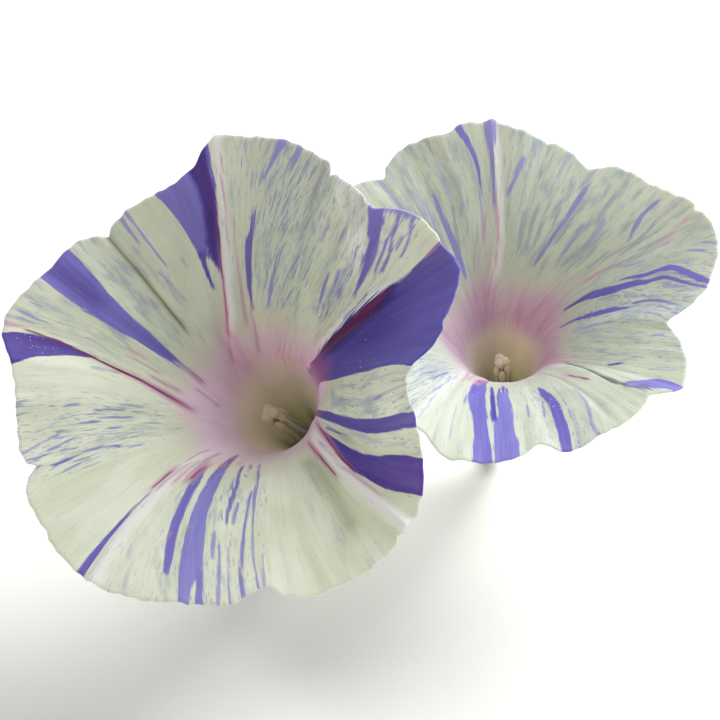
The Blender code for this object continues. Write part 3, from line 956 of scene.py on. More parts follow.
@dataclass(frozen=True)
class Flower:
    """One open flower: its place, its irregular shape and its pattern."""

    name: str
    base: Triple
    lean: float
    heading: float
    turn: float
    size: float
    head_lean: Triple               # mm that style and stamens lean at 20 mm up
    column_turn: Table              # (angle, degrees that a column turns by)
    rim: Table                      # (angle, mm further out, mm higher)
    ray_relief: tuple[float, ...]   # mm, the height of each ray's fold
    ray_bend: tuple[float, ...]     # degrees that each ray turns from the rim to the throat
    drift: Table                    # (angle, degrees that a file has turned by at each DRIFT_SHARES)
    marks: Table                    # (angle, flecks, clouds, pink of the throat)
    painted_shade: Table                     # (angle, how much painted shade greys and darkens the bloom)
    dust: Table                     # (angle, share, mm across, thickness) of fallen pollen
    nicks: Table                    # (angle, depth, width) in mm of small tears of the rim
    creases: tuple[Crease, ...]
    strokes: tuple[Stroke, ...]
    seed: int

    def place(self, points: Array) -> Array:
        """Bring points of the flower's own frame to the sprig's.

        Args:
            points: Points in the flower's frame.

        Returns:
            The same points in the sprig's frame.
        """
        turned = (Matrix.Rotation(math.radians(self.heading), 3, "Z")
                  @ Matrix.Rotation(math.radians(self.lean), 3, "Y")
                  @ Matrix.Rotation(math.radians(self.turn), 3, "Z"))
        return points @ np.array(turned).T + np.array(self.base) + SPRIG_SHIFT

    def lean_over(self, points: Array) -> Array:
        """Points of the style or the stamens, which lean over as they rise, in the sprig's frame."""
        return self.place(points + np.array(self.head_lean) * (points[:, 2:] / 20.0) ** 2)


def violet(*rows: Triple, **how: object) -> Stroke:
    """A stripe, violet where nothing else is said."""
    return Stroke(rows, **how)


streak = partial(violet, tone=0.4, strength=0.75, fray=0.14)                # thin, soft and violet
magenta = partial(violet, tone=1.0, pigment=Pigment.MAGENTA, least=0.14)    # a dark line of a ray
rose = partial(violet, tone=1.0, pigment=Pigment.ROSE, least=0.12)          # a faint mauve line
stain = partial(violet, pigment=Pigment.STAIN, taper=1.0)                   # orange, where dust lay


FRONT_CREASES = (
    Crease(((100, 36), (85, 36.6), (75, 38), (65, 40.3), (57, 43.5)), -0.5, 0.55, shadow=0.9),
    Crease(((100, 358.6), (90, 359), (80, 360.5), (70, 364), (60, 370), (50, 384)), 0.5, 0.8, rib=0.6),
    Crease(((100, 146.5), (90, 144.2), (80, 142.2), (70, 140), (60, 137), (50, 134)), 0.7, 0.8, rib=0.65),
    Crease(((100, 217.5), (85, 216.9), (70, 217.8), (60, 220.6), (50, 226)), 0.9, 0.85, rib=0.85),
    Crease(((87, 289), (80, 290.4), (70, 292.8), (60, 295.8), (55, 298.5), (50, 303)), 0.6, 0.5, rib=0.9),
    Crease(((92, 206), (78, 209), (68, 210), (54, 207)), -1.0, 2.4, shadow=0.3),
    Crease(((100, 318.4), (96, 316.8), (93, 313), (88, 310)), 0.5, 0.5, rib=0.8),
    Crease(((100, 314), (96, 309), (92, 304), (84, 301.6)), 0.5, 0.4, rib=0.9),
    Crease(((100, 316), (95, 311), (90, 306.5), (82, 304)), 0.2, 0.3, rib=0.8),
    Crease(((99, 309), (93, 302.8), (85, 300), (78, 298.6)), 0.2, 0.25, rib=0.7),
    Crease(((100, 327), (90, 327.5), (80, 325)), -0.3, 0.6, shadow=0.25),
)

FRONT_STROKES = (
    # the wedge beside the upper ray and the two prongs it ends in
    violet((100, 0.7, 17.8), (95, 1, 15.5), (90, 1, 14), (85, 2, 12), (80, 3.5, 10), (77, 4.6, 9), tone=0.62,
        fray=0.08),
    violet((82, 3.4, 6.2), (77, 5, 4.8), (73, 6.4, 2.6), (69, 7.8, 0.8), tone=0.9),
    violet((80, 9.6, 4), (77, 11.4, 2.5), (74, 12.4, 2.1), (69, 13.8, 1.1), tone=0.9),
    # the wedge's dark core along the ray's fold: deep violet with painted shade
    violet((100, 0.7, 7.3), (95, 1, 6), (90, 1, 6), (85, 2, 6.4), (80, 3.6, 6), (77, 5, 4.6), (73, 6.4, 2.6),
        (69, 7.8, 0.8), tone=1.15, fray=0.9),
    magenta((90, 1.6, 0.4), (80, 4, 0.5), (70, 7.6, 0.7), (65, 10.4, 0.8), (60, 14.4, 0.8), (55, 20.4, 0.6)),
    rose((95, 358, 0.2), (85, 359, 0.2), (75, 361, 0.3)), rose((100, 288.2, 0.4), (95, 288.2, 0.3)),
    rose((60, 14.8, 1), (54, 21.4, 1.6), (47, 33, 3)), rose((60, 356.8, 1), (52, 359.6, 1.8), (45, 365, 3)),
    rose((51, 75, 1), (44, 82.5, 2)), rose((55, 62, 2), (50, 67, 3)),
    streak((100, 27.2, 1.1), (90, 26.9, 0.9), (80, 26.3, 0.9)),
    streak((100, 29, 1.7), (95, 29.4, 1.2), (90, 29.8, 0.5)),
    streak((80, 19.4, 1.6), (77, 19.8, 0.8), strength=0.4),
    streak((80, 29.8, 1.2), (75, 29.4, 1.4), (69, 29, 1.6), strength=0.4),
    # the long band between the upper and the left ray
    violet((100, 45.8, 11.2), (95, 46.5, 11.5), (90, 47.6, 11.4), (85, 49.3, 10.7), (80, 51, 9.6),
        (75, 53, 8.3), (70, 54.5, 7.5), (65, 56.5, 6.5), (60, 59.5, 4.7), (57, 61.5, 3.5), (53, 63.6, 1.7),
        tone=0.6),
    violet((60, 61, 3), (54, 63, 3), (50, 65, 3), tone=0.4, strength=0.5, fray=0.4),
    violet((100, 46.4, 10), (90, 48.2, 10.2), (80, 52, 8), tone=0.85, fray=1),
    streak((98, 67.2, 0.7), (90, 68, 0.7)), streak((100, 69.2, 0.7), (93, 69.2, 0.6)),
    # the left ray
    violet((100, 74, 8), (97, 73, 7.6), (93, 72.4, 6.6), (90, 72.2, 5.8), (87, 72.2, 4.8), (84, 72.8, 3.2),
        (81, 73.5, 1.9), (78, 74.2, 0.6), tone=0.95, fray=0.08),
    magenta((95, 71.6, 0.4), (87, 72.1, 0.6), (82, 73.2, 0.7), (77, 74.9, 0.8), (72, 76.6, 1.3),
        (68, 78.6, 1.6), (65, 80.6, 1.8), (62, 82.8, 2.2), (57, 87, 2.5), (53, 91, 2.6)),
    rose((100, 71, 1.4), (95, 70.6, 0.8)), rose((71, 66, 0.8), (66, 68, 0.8)),
    rose((69, 69.5, 0.8), (62, 72.5, 0.8)), rose((64, 75.5, 1.5), (56, 80, 2)),
    streak((80, 78.4, 1.4), (76, 78, 1.4), (73, 77.8, 1), strength=0.4),
    streak((88, 92.6, 0.8), (84, 92.2, 0.6)), streak((84, 98.3, 0.9), (79, 98.8, 0.7)),
    streak((80, 94.3, 0.6), (72, 94.8, 0.8)), streak((79, 97.6, 0.7), (70, 98.2, 1)),
    streak((73, 92.8, 1), (67, 93.2, 1.2), strength=0.5), streak((77, 102, 0.8), (73, 102.4, 0.6)),
    streak((100, 104, 0.6), (90, 101, 0.5)), streak((98, 106.4, 0.6), (85, 102.9, 0.5)),
    streak((94, 109.8, 1), (90, 109, 1), (85, 108.5, 0.7), (80, 108.6, 0.7), (77, 109.2, 0.8),
        (75, 110.5, 1.7), tone=0.5, strength=1),
    streak((88, 110.6, 0.7), (83, 111.4, 0.7)), streak((90, 112.6, 0.6), (86, 112.4, 0.5)),
    streak((73, 112, 1), (69, 112.8, 0.9)),
    # the lower left ray
    violet((100, 141.8, 2.2), (95, 141, 2), (90, 140.4, 1.6), (85, 139.8, 1.2), (81, 139.6, 0.6), tone=0.75),
    streak((82, 139.4, 0.6), (74, 138.4, 0.5), tone=0.6),
    magenta((73, 137, 0.4), (70, 136.3, 0.7), (66, 135.3, 0.6)),
    magenta((64, 145.4, 0.6), (60, 144.4, 1), (58, 144.6, 0.6)), rose((72, 139.6, 0.6), (60, 137, 1)),
    rose((68, 141.4, 0.6), (58, 138.5, 1)), rose((65, 143.2, 0.6), (55, 139.5, 1.1)),
    rose((60, 134, 0.8), (53, 132, 1)), rose((58, 141.4, 0.8), (51, 139.5, 1.5)),
    # two bands and the fine lines of the lower petal
    violet((93, 158.6, 1.4), (90, 157.6, 1.8), (85, 155.6, 2.6), (80, 153.6, 3), (75, 151.8, 3.2),
        (70, 149.8, 3.4), (65, 147.2, 4.4), (62, 146, 3.4), (58, 145.6, 1)),
    violet((66, 147.2, 2.3), (62, 146, 2.4), (58.5, 145.4, 1), tone=1, strength=0.7),
    violet((100, 163.8, 2.2), (95, 162.8, 2.8), (90, 161.4, 5.2), (85, 160.2, 5.2), (80, 158.8, 5.2),
        (75, 157.4, 5), (70, 155.6, 5.6), (65, 154, 5.6), (60, 152.2, 5.6), (55, 150.8, 4.8),
        (50, 149.4, 3.6), (47, 149.2, 1.8), tone=0.35),
    violet((100, 167, 1.6), (95, 166.2, 1.4), (90, 164.8, 1.8), tone=0.4),
    streak((88, 167.8, 0.9), (84, 167, 1), (80, 166.4, 0.6)),
    streak((100, 171, 0.8), (92, 170.2, 0.7), (83, 168.8, 0.6)),
    streak((100, 173.4, 0.6), (90, 172, 0.6), (84, 171, 0.4)),
    streak((100, 175.6, 1.2), (93, 175, 0.9), (80, 174.6, 1), (66, 174.5, 0.5), strength=0.9),
    streak((100, 179.3, 0.6), (93, 178.3, 0.7), (85, 177.6, 0.7), (72, 176.8, 0.9), (65, 176.4, 1),
        (60, 175.4, 1), (55, 173.4, 0.8), (52, 171.6, 0.6), tone=0.3, strength=0.9),
    streak((100, 180.6, 0.7), (90, 180.5, 0.5), tone=0.2),
    streak((77, 168.8, 0.8), (73, 167.8, 1.2), (68, 167, 1.8), (63, 166.2, 1.6), (60, 165, 1.6),
        (57, 163.6, 1.4), (53, 161.8, 1.2), tone=0.55, strength=0.9),
    streak((65, 165.4, 0.6), (60, 163, 0.8)), streak((77, 170.8, 0.7), (70, 170.6, 0.5)),
    streak((56, 168, 0.8), (52, 166.6, 0.9)), streak((70, 163.6, 0.9), (67, 162.6, 0.9)),
    stain((91.5, 156.9, 1.2), (89, 156.5, 1.2)), stain((83, 154.6, 0.9), (81, 154.4, 0.9)),
    stain((80, 158.4, 1.2), (78.5, 158, 1.2)), stain((56, 149.6, 4.7), (54, 148.8, 4.8)),
    stain((53, 158.8, 1.4), (51, 158, 1.4)), stain((47, 213, 2), (45.5, 213, 2)),
    # the lower right ray's magenta edges and the bands beyond it
    magenta((74, 214.2, 0.4), (65, 214.8, 0.7), (58, 215.2, 0.6), (52, 215.4, 0.4)),
    magenta((80, 219, 0.3), (74, 219.8, 0.6), (70, 221, 0.8), (65, 223, 1.2), (61, 225, 1.2),
        (58, 226.6, 1.2), (55, 229, 1), (52, 231, 1), (45, 236.5, 1.5)),
    rose((90, 218.6, 0.8), (75, 217.6, 0.8), (62, 220, 1)),
    violet((100, 224.6, 7.4), (95, 223, 8.2), (90, 221.2, 8.8), (85, 220.2, 7.6), (80, 219.6, 6.8),
        (75, 219.6, 6.2), (70, 220.8, 5.2), (65, 223, 3.6), (59, 226, 1.2), tone=0.95, fray=0.08),
    streak((72, 229, 1), (66, 229, 0.8), (61, 229.3, 0.5), tone=0.8),
    violet((100, 238, 3.4), (95, 237, 3.6), (90, 235.6, 3.6), (85, 233.8, 4.4), (80, 232.8, 4.6),
        (75, 232.6, 4.4), (70, 232.8, 4.4), (65, 233.4, 5), (60, 234.4, 5.6), (55, 235.6, 5.8), (50, 238, 6),
        (45, 241, 6), tone=0.85, fray=0.08),
    streak((100, 247.4, 0.8), (90, 244.8, 1), (86, 243.2, 0.8), strength=0.4),
    # the petal that is violet all over, and the near-black valley at its edge: deep violet with painted shade
    violet((100, 252.8, 36), (95, 254, 34.6), (90, 255, 33.4), (85, 255.4, 33.2), (80, 255.6, 34.4),
        (75, 256.4, 34.8), (70, 257.4, 35), (65, 259, 34.6), (60, 261.4, 33.8), (57, 263.4, 33.2),
        (54, 266, 32), (50, 271, 30), (46, 277, 28), (40, 276, 28), tone=0.84, fray=0.06),
    violet((90, 266, 22), (85, 264, 24.4), (80, 263, 27), (70, 266, 26), (60, 272, 23), (55, 280, 17),
        tone=0.95, fray=2.2),
    violet((84, 284, 5), (75, 280.6, 10.4), (65, 279, 14.6), (57, 281.6, 15), (50, 288, 12.5), tone=1.3,
        fray=1.6),
    violet((86, 287.4, 1.4), (80, 286.6, 3.6), (75, 285.4, 6), (70, 284.4, 8.2), (65, 284.2, 9.8),
        (60, 285.4, 10.2), (56, 287.6, 9.8), (52, 291, 8.4), tone=1.5, fray=0.5),
    # streaks of the turned-back lobe past the valley
    violet((100, 295, 10), (98.5, 296, 8), strength=0.8, fray=0.2),
    violet((100, 301.6, 2.8), (97, 300.4, 2.6), (93, 299.4, 2.4), (90, 298.2, 2.2), (85, 296.8, 2.2),
        (80, 296.2, 1.7), (77, 295.9, 1.2), (74, 295.8, 0.6), tone=0.6),
    streak((100, 298.8, 0.9), (96, 297.6, 0.7), (92, 296.3, 0.6), (88, 294.7, 0.4), (84, 293.8, 0.3),
        tone=0.5, strength=0.9),
    streak((100, 296, 0.9), (97, 294.8, 0.7), (93, 293.2, 0.6), (90, 292.4, 0.4), strength=0.9),
    streak((94, 295.2, 0.5), (90, 294.2, 0.4), tone=0.6),
    streak((91, 297, 0.5), (87, 296, 0.4), (82, 294.9, 0.3), tone=0.6, strength=0.9),
    streak((90, 298.4, 0.4), (84, 297.2, 0.4), tone=0.6, strength=0.9),
    streak((88, 301.3, 0.6), (80, 300.3, 0.6), (72, 299.6, 0.5), strength=0.5),
    streak((80, 302.8, 0.8), (76, 302.3, 0.9), (72, 302, 0.6), tone=0.5),
    streak((78, 306.3, 1.3), (73, 305, 2.3), (69, 304.4, 2), tone=0.55),
    streak((77, 292.8, 0.6), (72, 293.2, 0.5), (67, 294.2, 0.4), tone=0.6),
    streak((90, 308.5, 2.5), (86, 308, 2.6), strength=0.35),
    streak((90, 317, 0.7), (83, 317, 0.5), strength=0.5),
    # long streaks of the upper petal
    streak((98, 325.5, 0.7), (88, 327.5, 0.7), strength=0.5),
    streak((100, 334.2, 1.6), (96, 335, 1.6), (93, 336.4, 0.6), tone=0.45),
    streak((100, 338.6, 2.6), (95, 341.4, 1.7), (90, 344.2, 1.3), strength=0.85),
    streak((94, 339, 0.6), (86, 344, 0.7), strength=0.5),
    streak((100, 349.6, 0.8), (97, 350.4, 1.6), strength=0.5),
    streak((90, 355.5, 0.8), (85, 355.8, 1.2), strength=0.4),
    streak((83, 347.6, 0.8), (78, 349, 1.4), (74, 350.2, 3.4), (70, 351.2, 3.6), (66, 352.4, 3.6),
        (62, 354.6, 2.8), (57, 356.4, 1.2), tone=0.75, strength=0.95),
    streak((69, 337.8, 1), (65, 339.6, 1.8), (62, 341, 2.6), (58, 344, 2)),
    streak((72, 341, 1), (66, 343.4, 1.2), strength=0.35),
    rose((80, 356.6, 0.6), (70, 358.4, 1), (62, 360.6, 1.2), (55, 364, 2)),
)

FRONT = Flower(
    name="front", base=(-5.7, 7.9, 17.2), lean=39.2, heading=240.1, turn=209.7, size=1.0,
    head_lean=(0.1, 1.3, 0.0), seed=11,
    column_turn=((0, -2), (36, -1), (72, -3), (108, -1), (144, -3), (180, 5), (216, 3), (252, 2), (288, 0),
        (324, 0)),
    rim=((4, -2.4, 0.3), (19, -3, -1.6), (29, -2.1, -2.7), (35, -2.5, -2.8), (41, -0.5, -2.4),
        (53, -0.4, -0.4), (62, 1, 1), (69, 1.5, 1.7), (79, -1.3, 1.5), (89, -2.1, 0.7), (101, -1.2, -0.4),
        (107, -1.4, -0.5), (113, 0, -0.4), (123, 0.5, 0), (141, 1.8, 0.9), (154, 1.6, 0.7), (166, 0.9, 0.3),
        (179, 1.1, -0.4), (185, -0.3, -0.7), (191, 2.2, -1.1), (203, 3.5, -2.2), (219, 3.5, -2.7),
        (229, 2.1, -1.3), (238, -1, 0.6), (246, -3.5, 2.4), (254, -4.4, 3.3), (260, -1.7, 3.2),
        (268, 0.3, 2.4), (280, 2.7, 0.6), (288, 1.7, -0.2), (297, 0.4, 1.8), (300, -1.2, 2.5),
        (303, -3.1, 2.9), (307, -3.1, 2.2), (313, -2.4, 0), (320, -2.5, 1.3), (323.4, -2.1, 0),
        (325.4, -0.7, -0.7), (329, -0.4, -0.4), (335, 0.4, -0.1), (348, 0.8, 0.6), (358, 1, 0.7)),
    ray_relief=(-1, -1, -0.6, 1, -2.4),
    ray_bend=(28, 23, -12, 12, 12),
    drift=((0, -1, 9, 25), (14, -2, 7, 20), (36, 1, 4, 11), (55, 3.5, 8, 13), (76, -2, 4, 18), (95, 0, 3, 10),
        (110, 0, 1, 4), (128, -2, -5, -8), (142, -3, -8, -8), (155, -5, -12, -13), (165, -5, -9, -13),
        (172, -3, -4, -8), (180, -2, -2, -4), (200, 0, 0, 0), (217, 0, 2, 8), (229, -5, -3, 5),
        (240, -5, -4, 1), (256, 2, 5, 13), (275, 1, 4, 14), (290, 0, 4, 12), (300, -4, -5, 2),
        (312, -1, 1, 7), (328, 3, 8, 14), (342, 7, 13, 22), (352, 5, 12, 26)),
    marks=((0, 0.3, 0.3, 0.45), (10, 0.1, 0.1, 0.4), (24, 0.05, 0.2, 0.4), (36, 0.2, 0.75, 0.35),
        (45, 0.25, 0.9, 0.4), (52, 0.2, 0.7, 0.55), (62, 0.25, 0.85, 0.75), (72, 0.3, 0.5, 1),
        (82, 0.1, 0.2, 1), (95, 0.5, 0.4, 0.9), (106, 0.6, 0.6, 0.8), (114, 0.3, 0.25, 0.7),
        (124, 0, 0.05, 0.55), (138, 0.05, 0.15, 0.5), (147, 0.3, 0.5, 0.5), (156, 0.25, 0.6, 0.35),
        (168, 0.4, 0.6, 0.2), (180, 0.25, 0.45, 0.1), (188, 0, 0.1, 0.05), (205, 0.1, 0.5, 0.1),
        (216, 0.05, 0.1, 0.35), (230, 0.3, 0.7, 0.6), (246, 0.45, 0.85, 0.4), (258, 0.3, 0.3, 0.7),
        (288, 0.1, 0.2, 0.9), (298, 0.5, 0.7, 0.5), (315, 0.5, 0.5, 0.4), (330, 0.75, 0.6, 0.45),
        (345, 0.65, 0.5, 0.5)),
    # painted shade, strongest on the upper petals
    painted_shade=((0, 0.65), (26, 0.8), (50, 0.5), (75, 0.1), (110, 0), (190, 0), (212, 0.35), (240, 0.2),
        (300, 0.45), (340, 0.85)),
    dust=((76, 0.92, 2.2, 1), (150, 0.58, 3, 0.6), (161, 0.52, 2.5, 0.8), (213, 0.48, 2, 1),
        (223, 0.5, 1.5, 0.6), (250, 0.75, 4, 0.3), (300, 0.78, 4, 0.3)),
    nicks=((108.6, 1.6, 1), (182.3, 0.8, 1.2), (35.8, 0.7, 1.2), (214.5, 0.7, 0.8)),
    creases=FRONT_CREASES, strokes=FRONT_STROKES)

REAR_CREASES = (
    Crease(((91, 214.3), (85, 213.8), (80, 214.8), (75, 216.3), (70, 218), (65, 220.3), (60, 222.8),
        (55, 225.5)), -0.4, 0.35, shadow=0.7),
    Crease(((100, 358.5), (80, 357.6), (65, 357), (55, 362), (50, 370)), 0.4, 0.8, rib=0.5),
    Crease(((100, 145.5), (80, 143.5), (65, 141), (50, 138)), 0.5, 1.0, rib=0.5),
)

REAR_STROKES = (
    violet((100, 357, 4.2), (95, 357.6, 3.4), (91, 358.4, 2), (85, 358.4, 1.8), (75, 358.7, 1.3),
        strength=0.8, fray=0.2),
    rose((79, 358.7, 0.7), (70, 357.5, 1.3), (65, 357.6, 1.3)),
    rose((74, 363.9, 1), (70, 365.2, 1.7), (66, 367.2, 1.6)),
    rose((66, 358.6, 0.6), (58, 361, 1), (50, 371, 2)),
    violet((100, 8.4, 2.4), (95, 6.4, 2), (90, 4.8, 1.8), (86, 4.4, 1.6), (82, 4.8, 1), (79, 5.2, 0.6),
        tone=0.55),
    streak((82, 5, 0.8), (75, 6, 1), (68, 7, 1), tone=0.1, strength=0.5),
    streak((84, 24, 1.3), (80, 24, 1.9), (75, 24.2, 2.6), (70, 24, 3.4), (65, 24.2, 3.6), (60, 25, 3.6),
        (57, 27, 2), strength=0.8),
    streak((100, 37.5, 1.3), (90, 37.6, 1.1), (82, 38, 0.6), tone=0.15, strength=0.6),
    streak((89, 30.2, 1.2), (82, 29.4, 1.6), (77, 29.6, 1), tone=0.1, strength=0.5),
    streak((93, 18, 2.6), (80, 17.8, 1.6), tone=0, strength=0.35),
    # the half behind the other flower
    violet((100, 52, 8), (90, 54, 7), (78, 57, 5), (66, 61, 2)),
    violet((100, 70, 4), (85, 71, 2), (72, 73.5, 1), tone=0.7),
    magenta((76, 73, 1.2), (66, 77, 1.6), (58, 83, 1.2)), streak((98, 92, 3.5), (85, 94, 3), (70, 98, 2)),
    streak((100, 104, 2), (80, 104.6, 1)), streak((76, 135.8, 0.8), (70, 136, 1), (65, 135.8, 0.6), tone=0.6),
    streak((74, 131.6, 0.6), (68, 132, 0.6), tone=0.9),
    rose((66, 146, 0.6), (60, 144, 1), (52, 137, 2), (44, 125, 3)),
    rose((64, 149, 1), (56, 146, 2), (50, 142, 2)),
    magenta((60, 153.2, 0.6), (54, 155, 0.8), (48, 156.6, 0.6), (45, 150, 3)),
    streak((84, 142.4, 0.8), (66, 142, 1), strength=0.4),
    # the bands of the near petal with a dark tongue between
    violet((100, 163.5, 4.5), (95, 163, 4.6), (90, 162.3, 4.5), (85, 161.2, 4.6), (80, 159.6, 5.2),
        (75, 156.4, 7), (72, 154.4, 8.4), (70, 153.4, 8.8), (66, 152.6, 8.8), (62, 153, 7.6), (57, 154.8, 4),
        (50, 156.6, 1.4), (47, 155, 2.4), (44, 147, 7.5), (42, 140, 12), tone=0.58),
    violet((70, 153.4, 2.6), (65, 152.8, 4.2), (60, 153.8, 3.6), (55, 155.6, 1.8), tone=0.9, fray=0.8),
    streak((77, 155.1, 0.6), (72, 153.6, 1.2), strength=1),
    violet((83, 166.9, 1.9), (80, 166.2, 2), (75, 165.2, 2.4), (70, 164.4, 2.4), (65, 163.6, 1.6),
        (60, 163, 0.6), tone=0.9),
    violet((100, 168.6, 5.8), (95, 168.5, 6.2), (90, 168, 6), (85, 167.4, 6.4), (82, 168.2, 5.7),
        (80, 168.9, 5), (75, 168.3, 5.5), (70, 167.7, 5.3), (65, 167.6, 5.2), tone=0.45),
    violet((66, 167.4, 1.2), (61.5, 168.2, 0.6), tone=0.8),
    violet((66, 169.8, 1.2), (60, 170.2, 0.6), tone=0.7),
    violet((66, 171.8, 1.2), (62, 172.2, 0.6), tone=0.8),
    violet((100, 185, 2.6), (95, 185.6, 3.2), (90, 186.4, 3.6), (85, 187, 3.8), (80, 187.8, 4.2),
        (77, 188.2, 4.2), (73, 188.2, 4), (70, 188.4, 3.2), (66, 189.2, 1.4), tone=0.7),
    streak((83, 184.6, 0.5), (78, 185.8, 0.5), (75, 186.8, 0.4), tone=0.7),
    streak((87, 179.2, 0.5), (80, 179.6, 0.5)),
    streak((100, 194.8, 0.8), (95, 195.4, 1.1), (90, 197.3, 1.3), (85, 199.3, 1.2), (80, 200.4, 1),
        (77, 200.8, 0.6), tone=0.5, strength=0.55),
    streak((93, 156, 0.8), (80, 153.4, 0.6), strength=0.45),
    streak((97, 146, 1), (80, 143.6, 0.8), tone=0.2, strength=0.4),
    streak((100, 189.4, 1.2), (85, 193, 1), tone=0.1, strength=0.35),
    magenta((76.5, 209.4, 0.6), (73, 208.2, 1), (69, 207.2, 0.8)),
    streak((90, 214.6, 0.3), (80, 214.9, 0.4), (70, 218, 0.5), (60, 222.9, 0.6), (55, 225.6, 0.8), tone=1.1,
        strength=0.6),
    # the curled lobe at the notch, and the petal beyond it
    violet((100, 221, 4), (98, 220.6, 4.7), (96, 217.5, 7.8), (94, 215.5, 9.5), (92, 214.8, 9.6),
        (90.5, 214.4, 8.2), (89.5, 214.2, 3.8), tone=0.45),
    violet((97, 216, 3), (94, 214.8, 4.7), (91, 214.2, 5.8), tone=1, strength=0.8, fray=0.5),
    streak((96, 229.8, 0.8), (92, 229, 0.8), (89, 228, 0.5), strength=0.5),
    streak((80, 227.6, 1.8), (78, 225.8, 2.4), (75.5, 224.4, 1.4), tone=0.9, strength=0.9),
    streak((85, 233.6, 1.4), (82, 231, 1.2), (80, 229.8, 0.7), strength=0.5),
    streak((73, 234.4, 2), (70, 233.2, 1.8), strength=0.4),
    streak((96, 245.6, 1.8), (92, 245.6, 1.2), (90, 245.3, 0.7), strength=0.7),
    # streaks of the right petal
    streak((100, 252.5, 0.7), (93, 256, 0.7), (87, 258, 0.5), tone=0.5),
    streak((100, 255.6, 0.7), (93, 259, 0.7), (88, 261, 0.5), tone=0.5),
    streak((97, 259.4, 0.8), (90, 262.4, 0.7), (86, 264, 0.9), (83, 264.8, 1.1), (78, 265.7, 0.6), tone=0.6,
        strength=0.9),
    violet((100, 267, 1.4), (97, 268.2, 1.8), (94, 270, 1.8), (90, 272.6, 2.2), (87, 274.8, 2.4),
        (84, 275.8, 1.6), (80, 276.2, 1.7), (77, 277.6, 1.8), (72, 281, 0.8), tone=0.6, fray=0.05),
    violet((100, 265.6, 0.8), (95, 267.4, 0.9), (90, 270, 1.1), (86, 272.4, 1.2), (82, 273.2, 1.4),
        (80, 273.2, 2), (77, 274.2, 2.8), (73, 275.4, 3.2), (70, 275.8, 4.2), (68, 276.8, 5), (65, 279, 5),
        (62, 281.4, 4.2), (57, 285.6, 1.8), (54, 288, 1), tone=0.65, fray=0.05),
    streak((99, 274.8, 0.7), (95, 277.4, 0.8), (92, 279, 0.7)),
    streak((100, 277.4, 0.6), (97, 279, 0.8), (94, 280.2, 0.5)),
    violet((77, 263.8, 1.2), (73, 264.2, 2.2), (70, 264.9, 3), (65, 266.6, 3.6), (60, 269.6, 3.2),
        (57, 271.8, 2.6), (54, 274, 2), (50, 277, 1.4), tone=0.6, fray=0.08),
    streak((69, 254.8, 1.8), (65, 256.2, 3.6), (60, 259.8, 3.6), (56, 262.4, 2.6), tone=0.2, strength=0.45),
    streak((90, 284.9, 0.7), (83, 284.9, 0.8), strength=0.4),
    streak((80, 282.4, 1.2), (76, 284.4, 1.8), (74, 287, 1.6), strength=0.45),
    streak((79, 286.8, 0.8), (74, 288.4, 1.2), (69, 290.4, 1.6), tone=0.6, strength=0.4),
    streak((88, 284.6, 0.6), (80, 286, 0.8), tone=0.2, strength=0.5),
    rose((74, 289.8, 0.8), (70, 290.6, 1.6), (67, 291.6, 1.8), (64, 293, 1.4)),
    rose((96, 287.6, 0.8), (85, 286, 0.6)), streak((92, 293.5, 0.8), (87, 292.2, 0.7), strength=0.45),
    streak((96, 297.4, 0.7), (90, 297, 1.4), (87, 295.8, 1.8), (82, 294.2, 0.8), tone=0.5),
    streak((83, 305.6, 2.2), (78, 305.1, 2.7), (72, 305.2, 1.8), strength=0.5),
    streak((79, 312.8, 2), (70, 312.8, 2), (62, 313.4, 1.4), strength=0.35),
    streak((93, 319.8, 2.4), (85, 319.8, 2.4), (80, 320.5, 2), (77, 321.2, 2.2), (73, 322.4, 2.4),
        (70, 323.4, 2.4), (66, 325.2, 2.3), (61, 328, 1.4), tone=0.5, strength=0.7),
    streak((100, 330, 1.2), (90, 331.2, 1.4), strength=0.35),
    streak((92, 346.2, 1.8), (88, 347.4, 2.2), (84, 349.2, 1.8), (81, 350.8, 2.2), (79, 352.4, 1.4)),
    streak((97, 340.8, 2.4), (94, 341.6, 1.8), tone=0.2, strength=0.4),
)

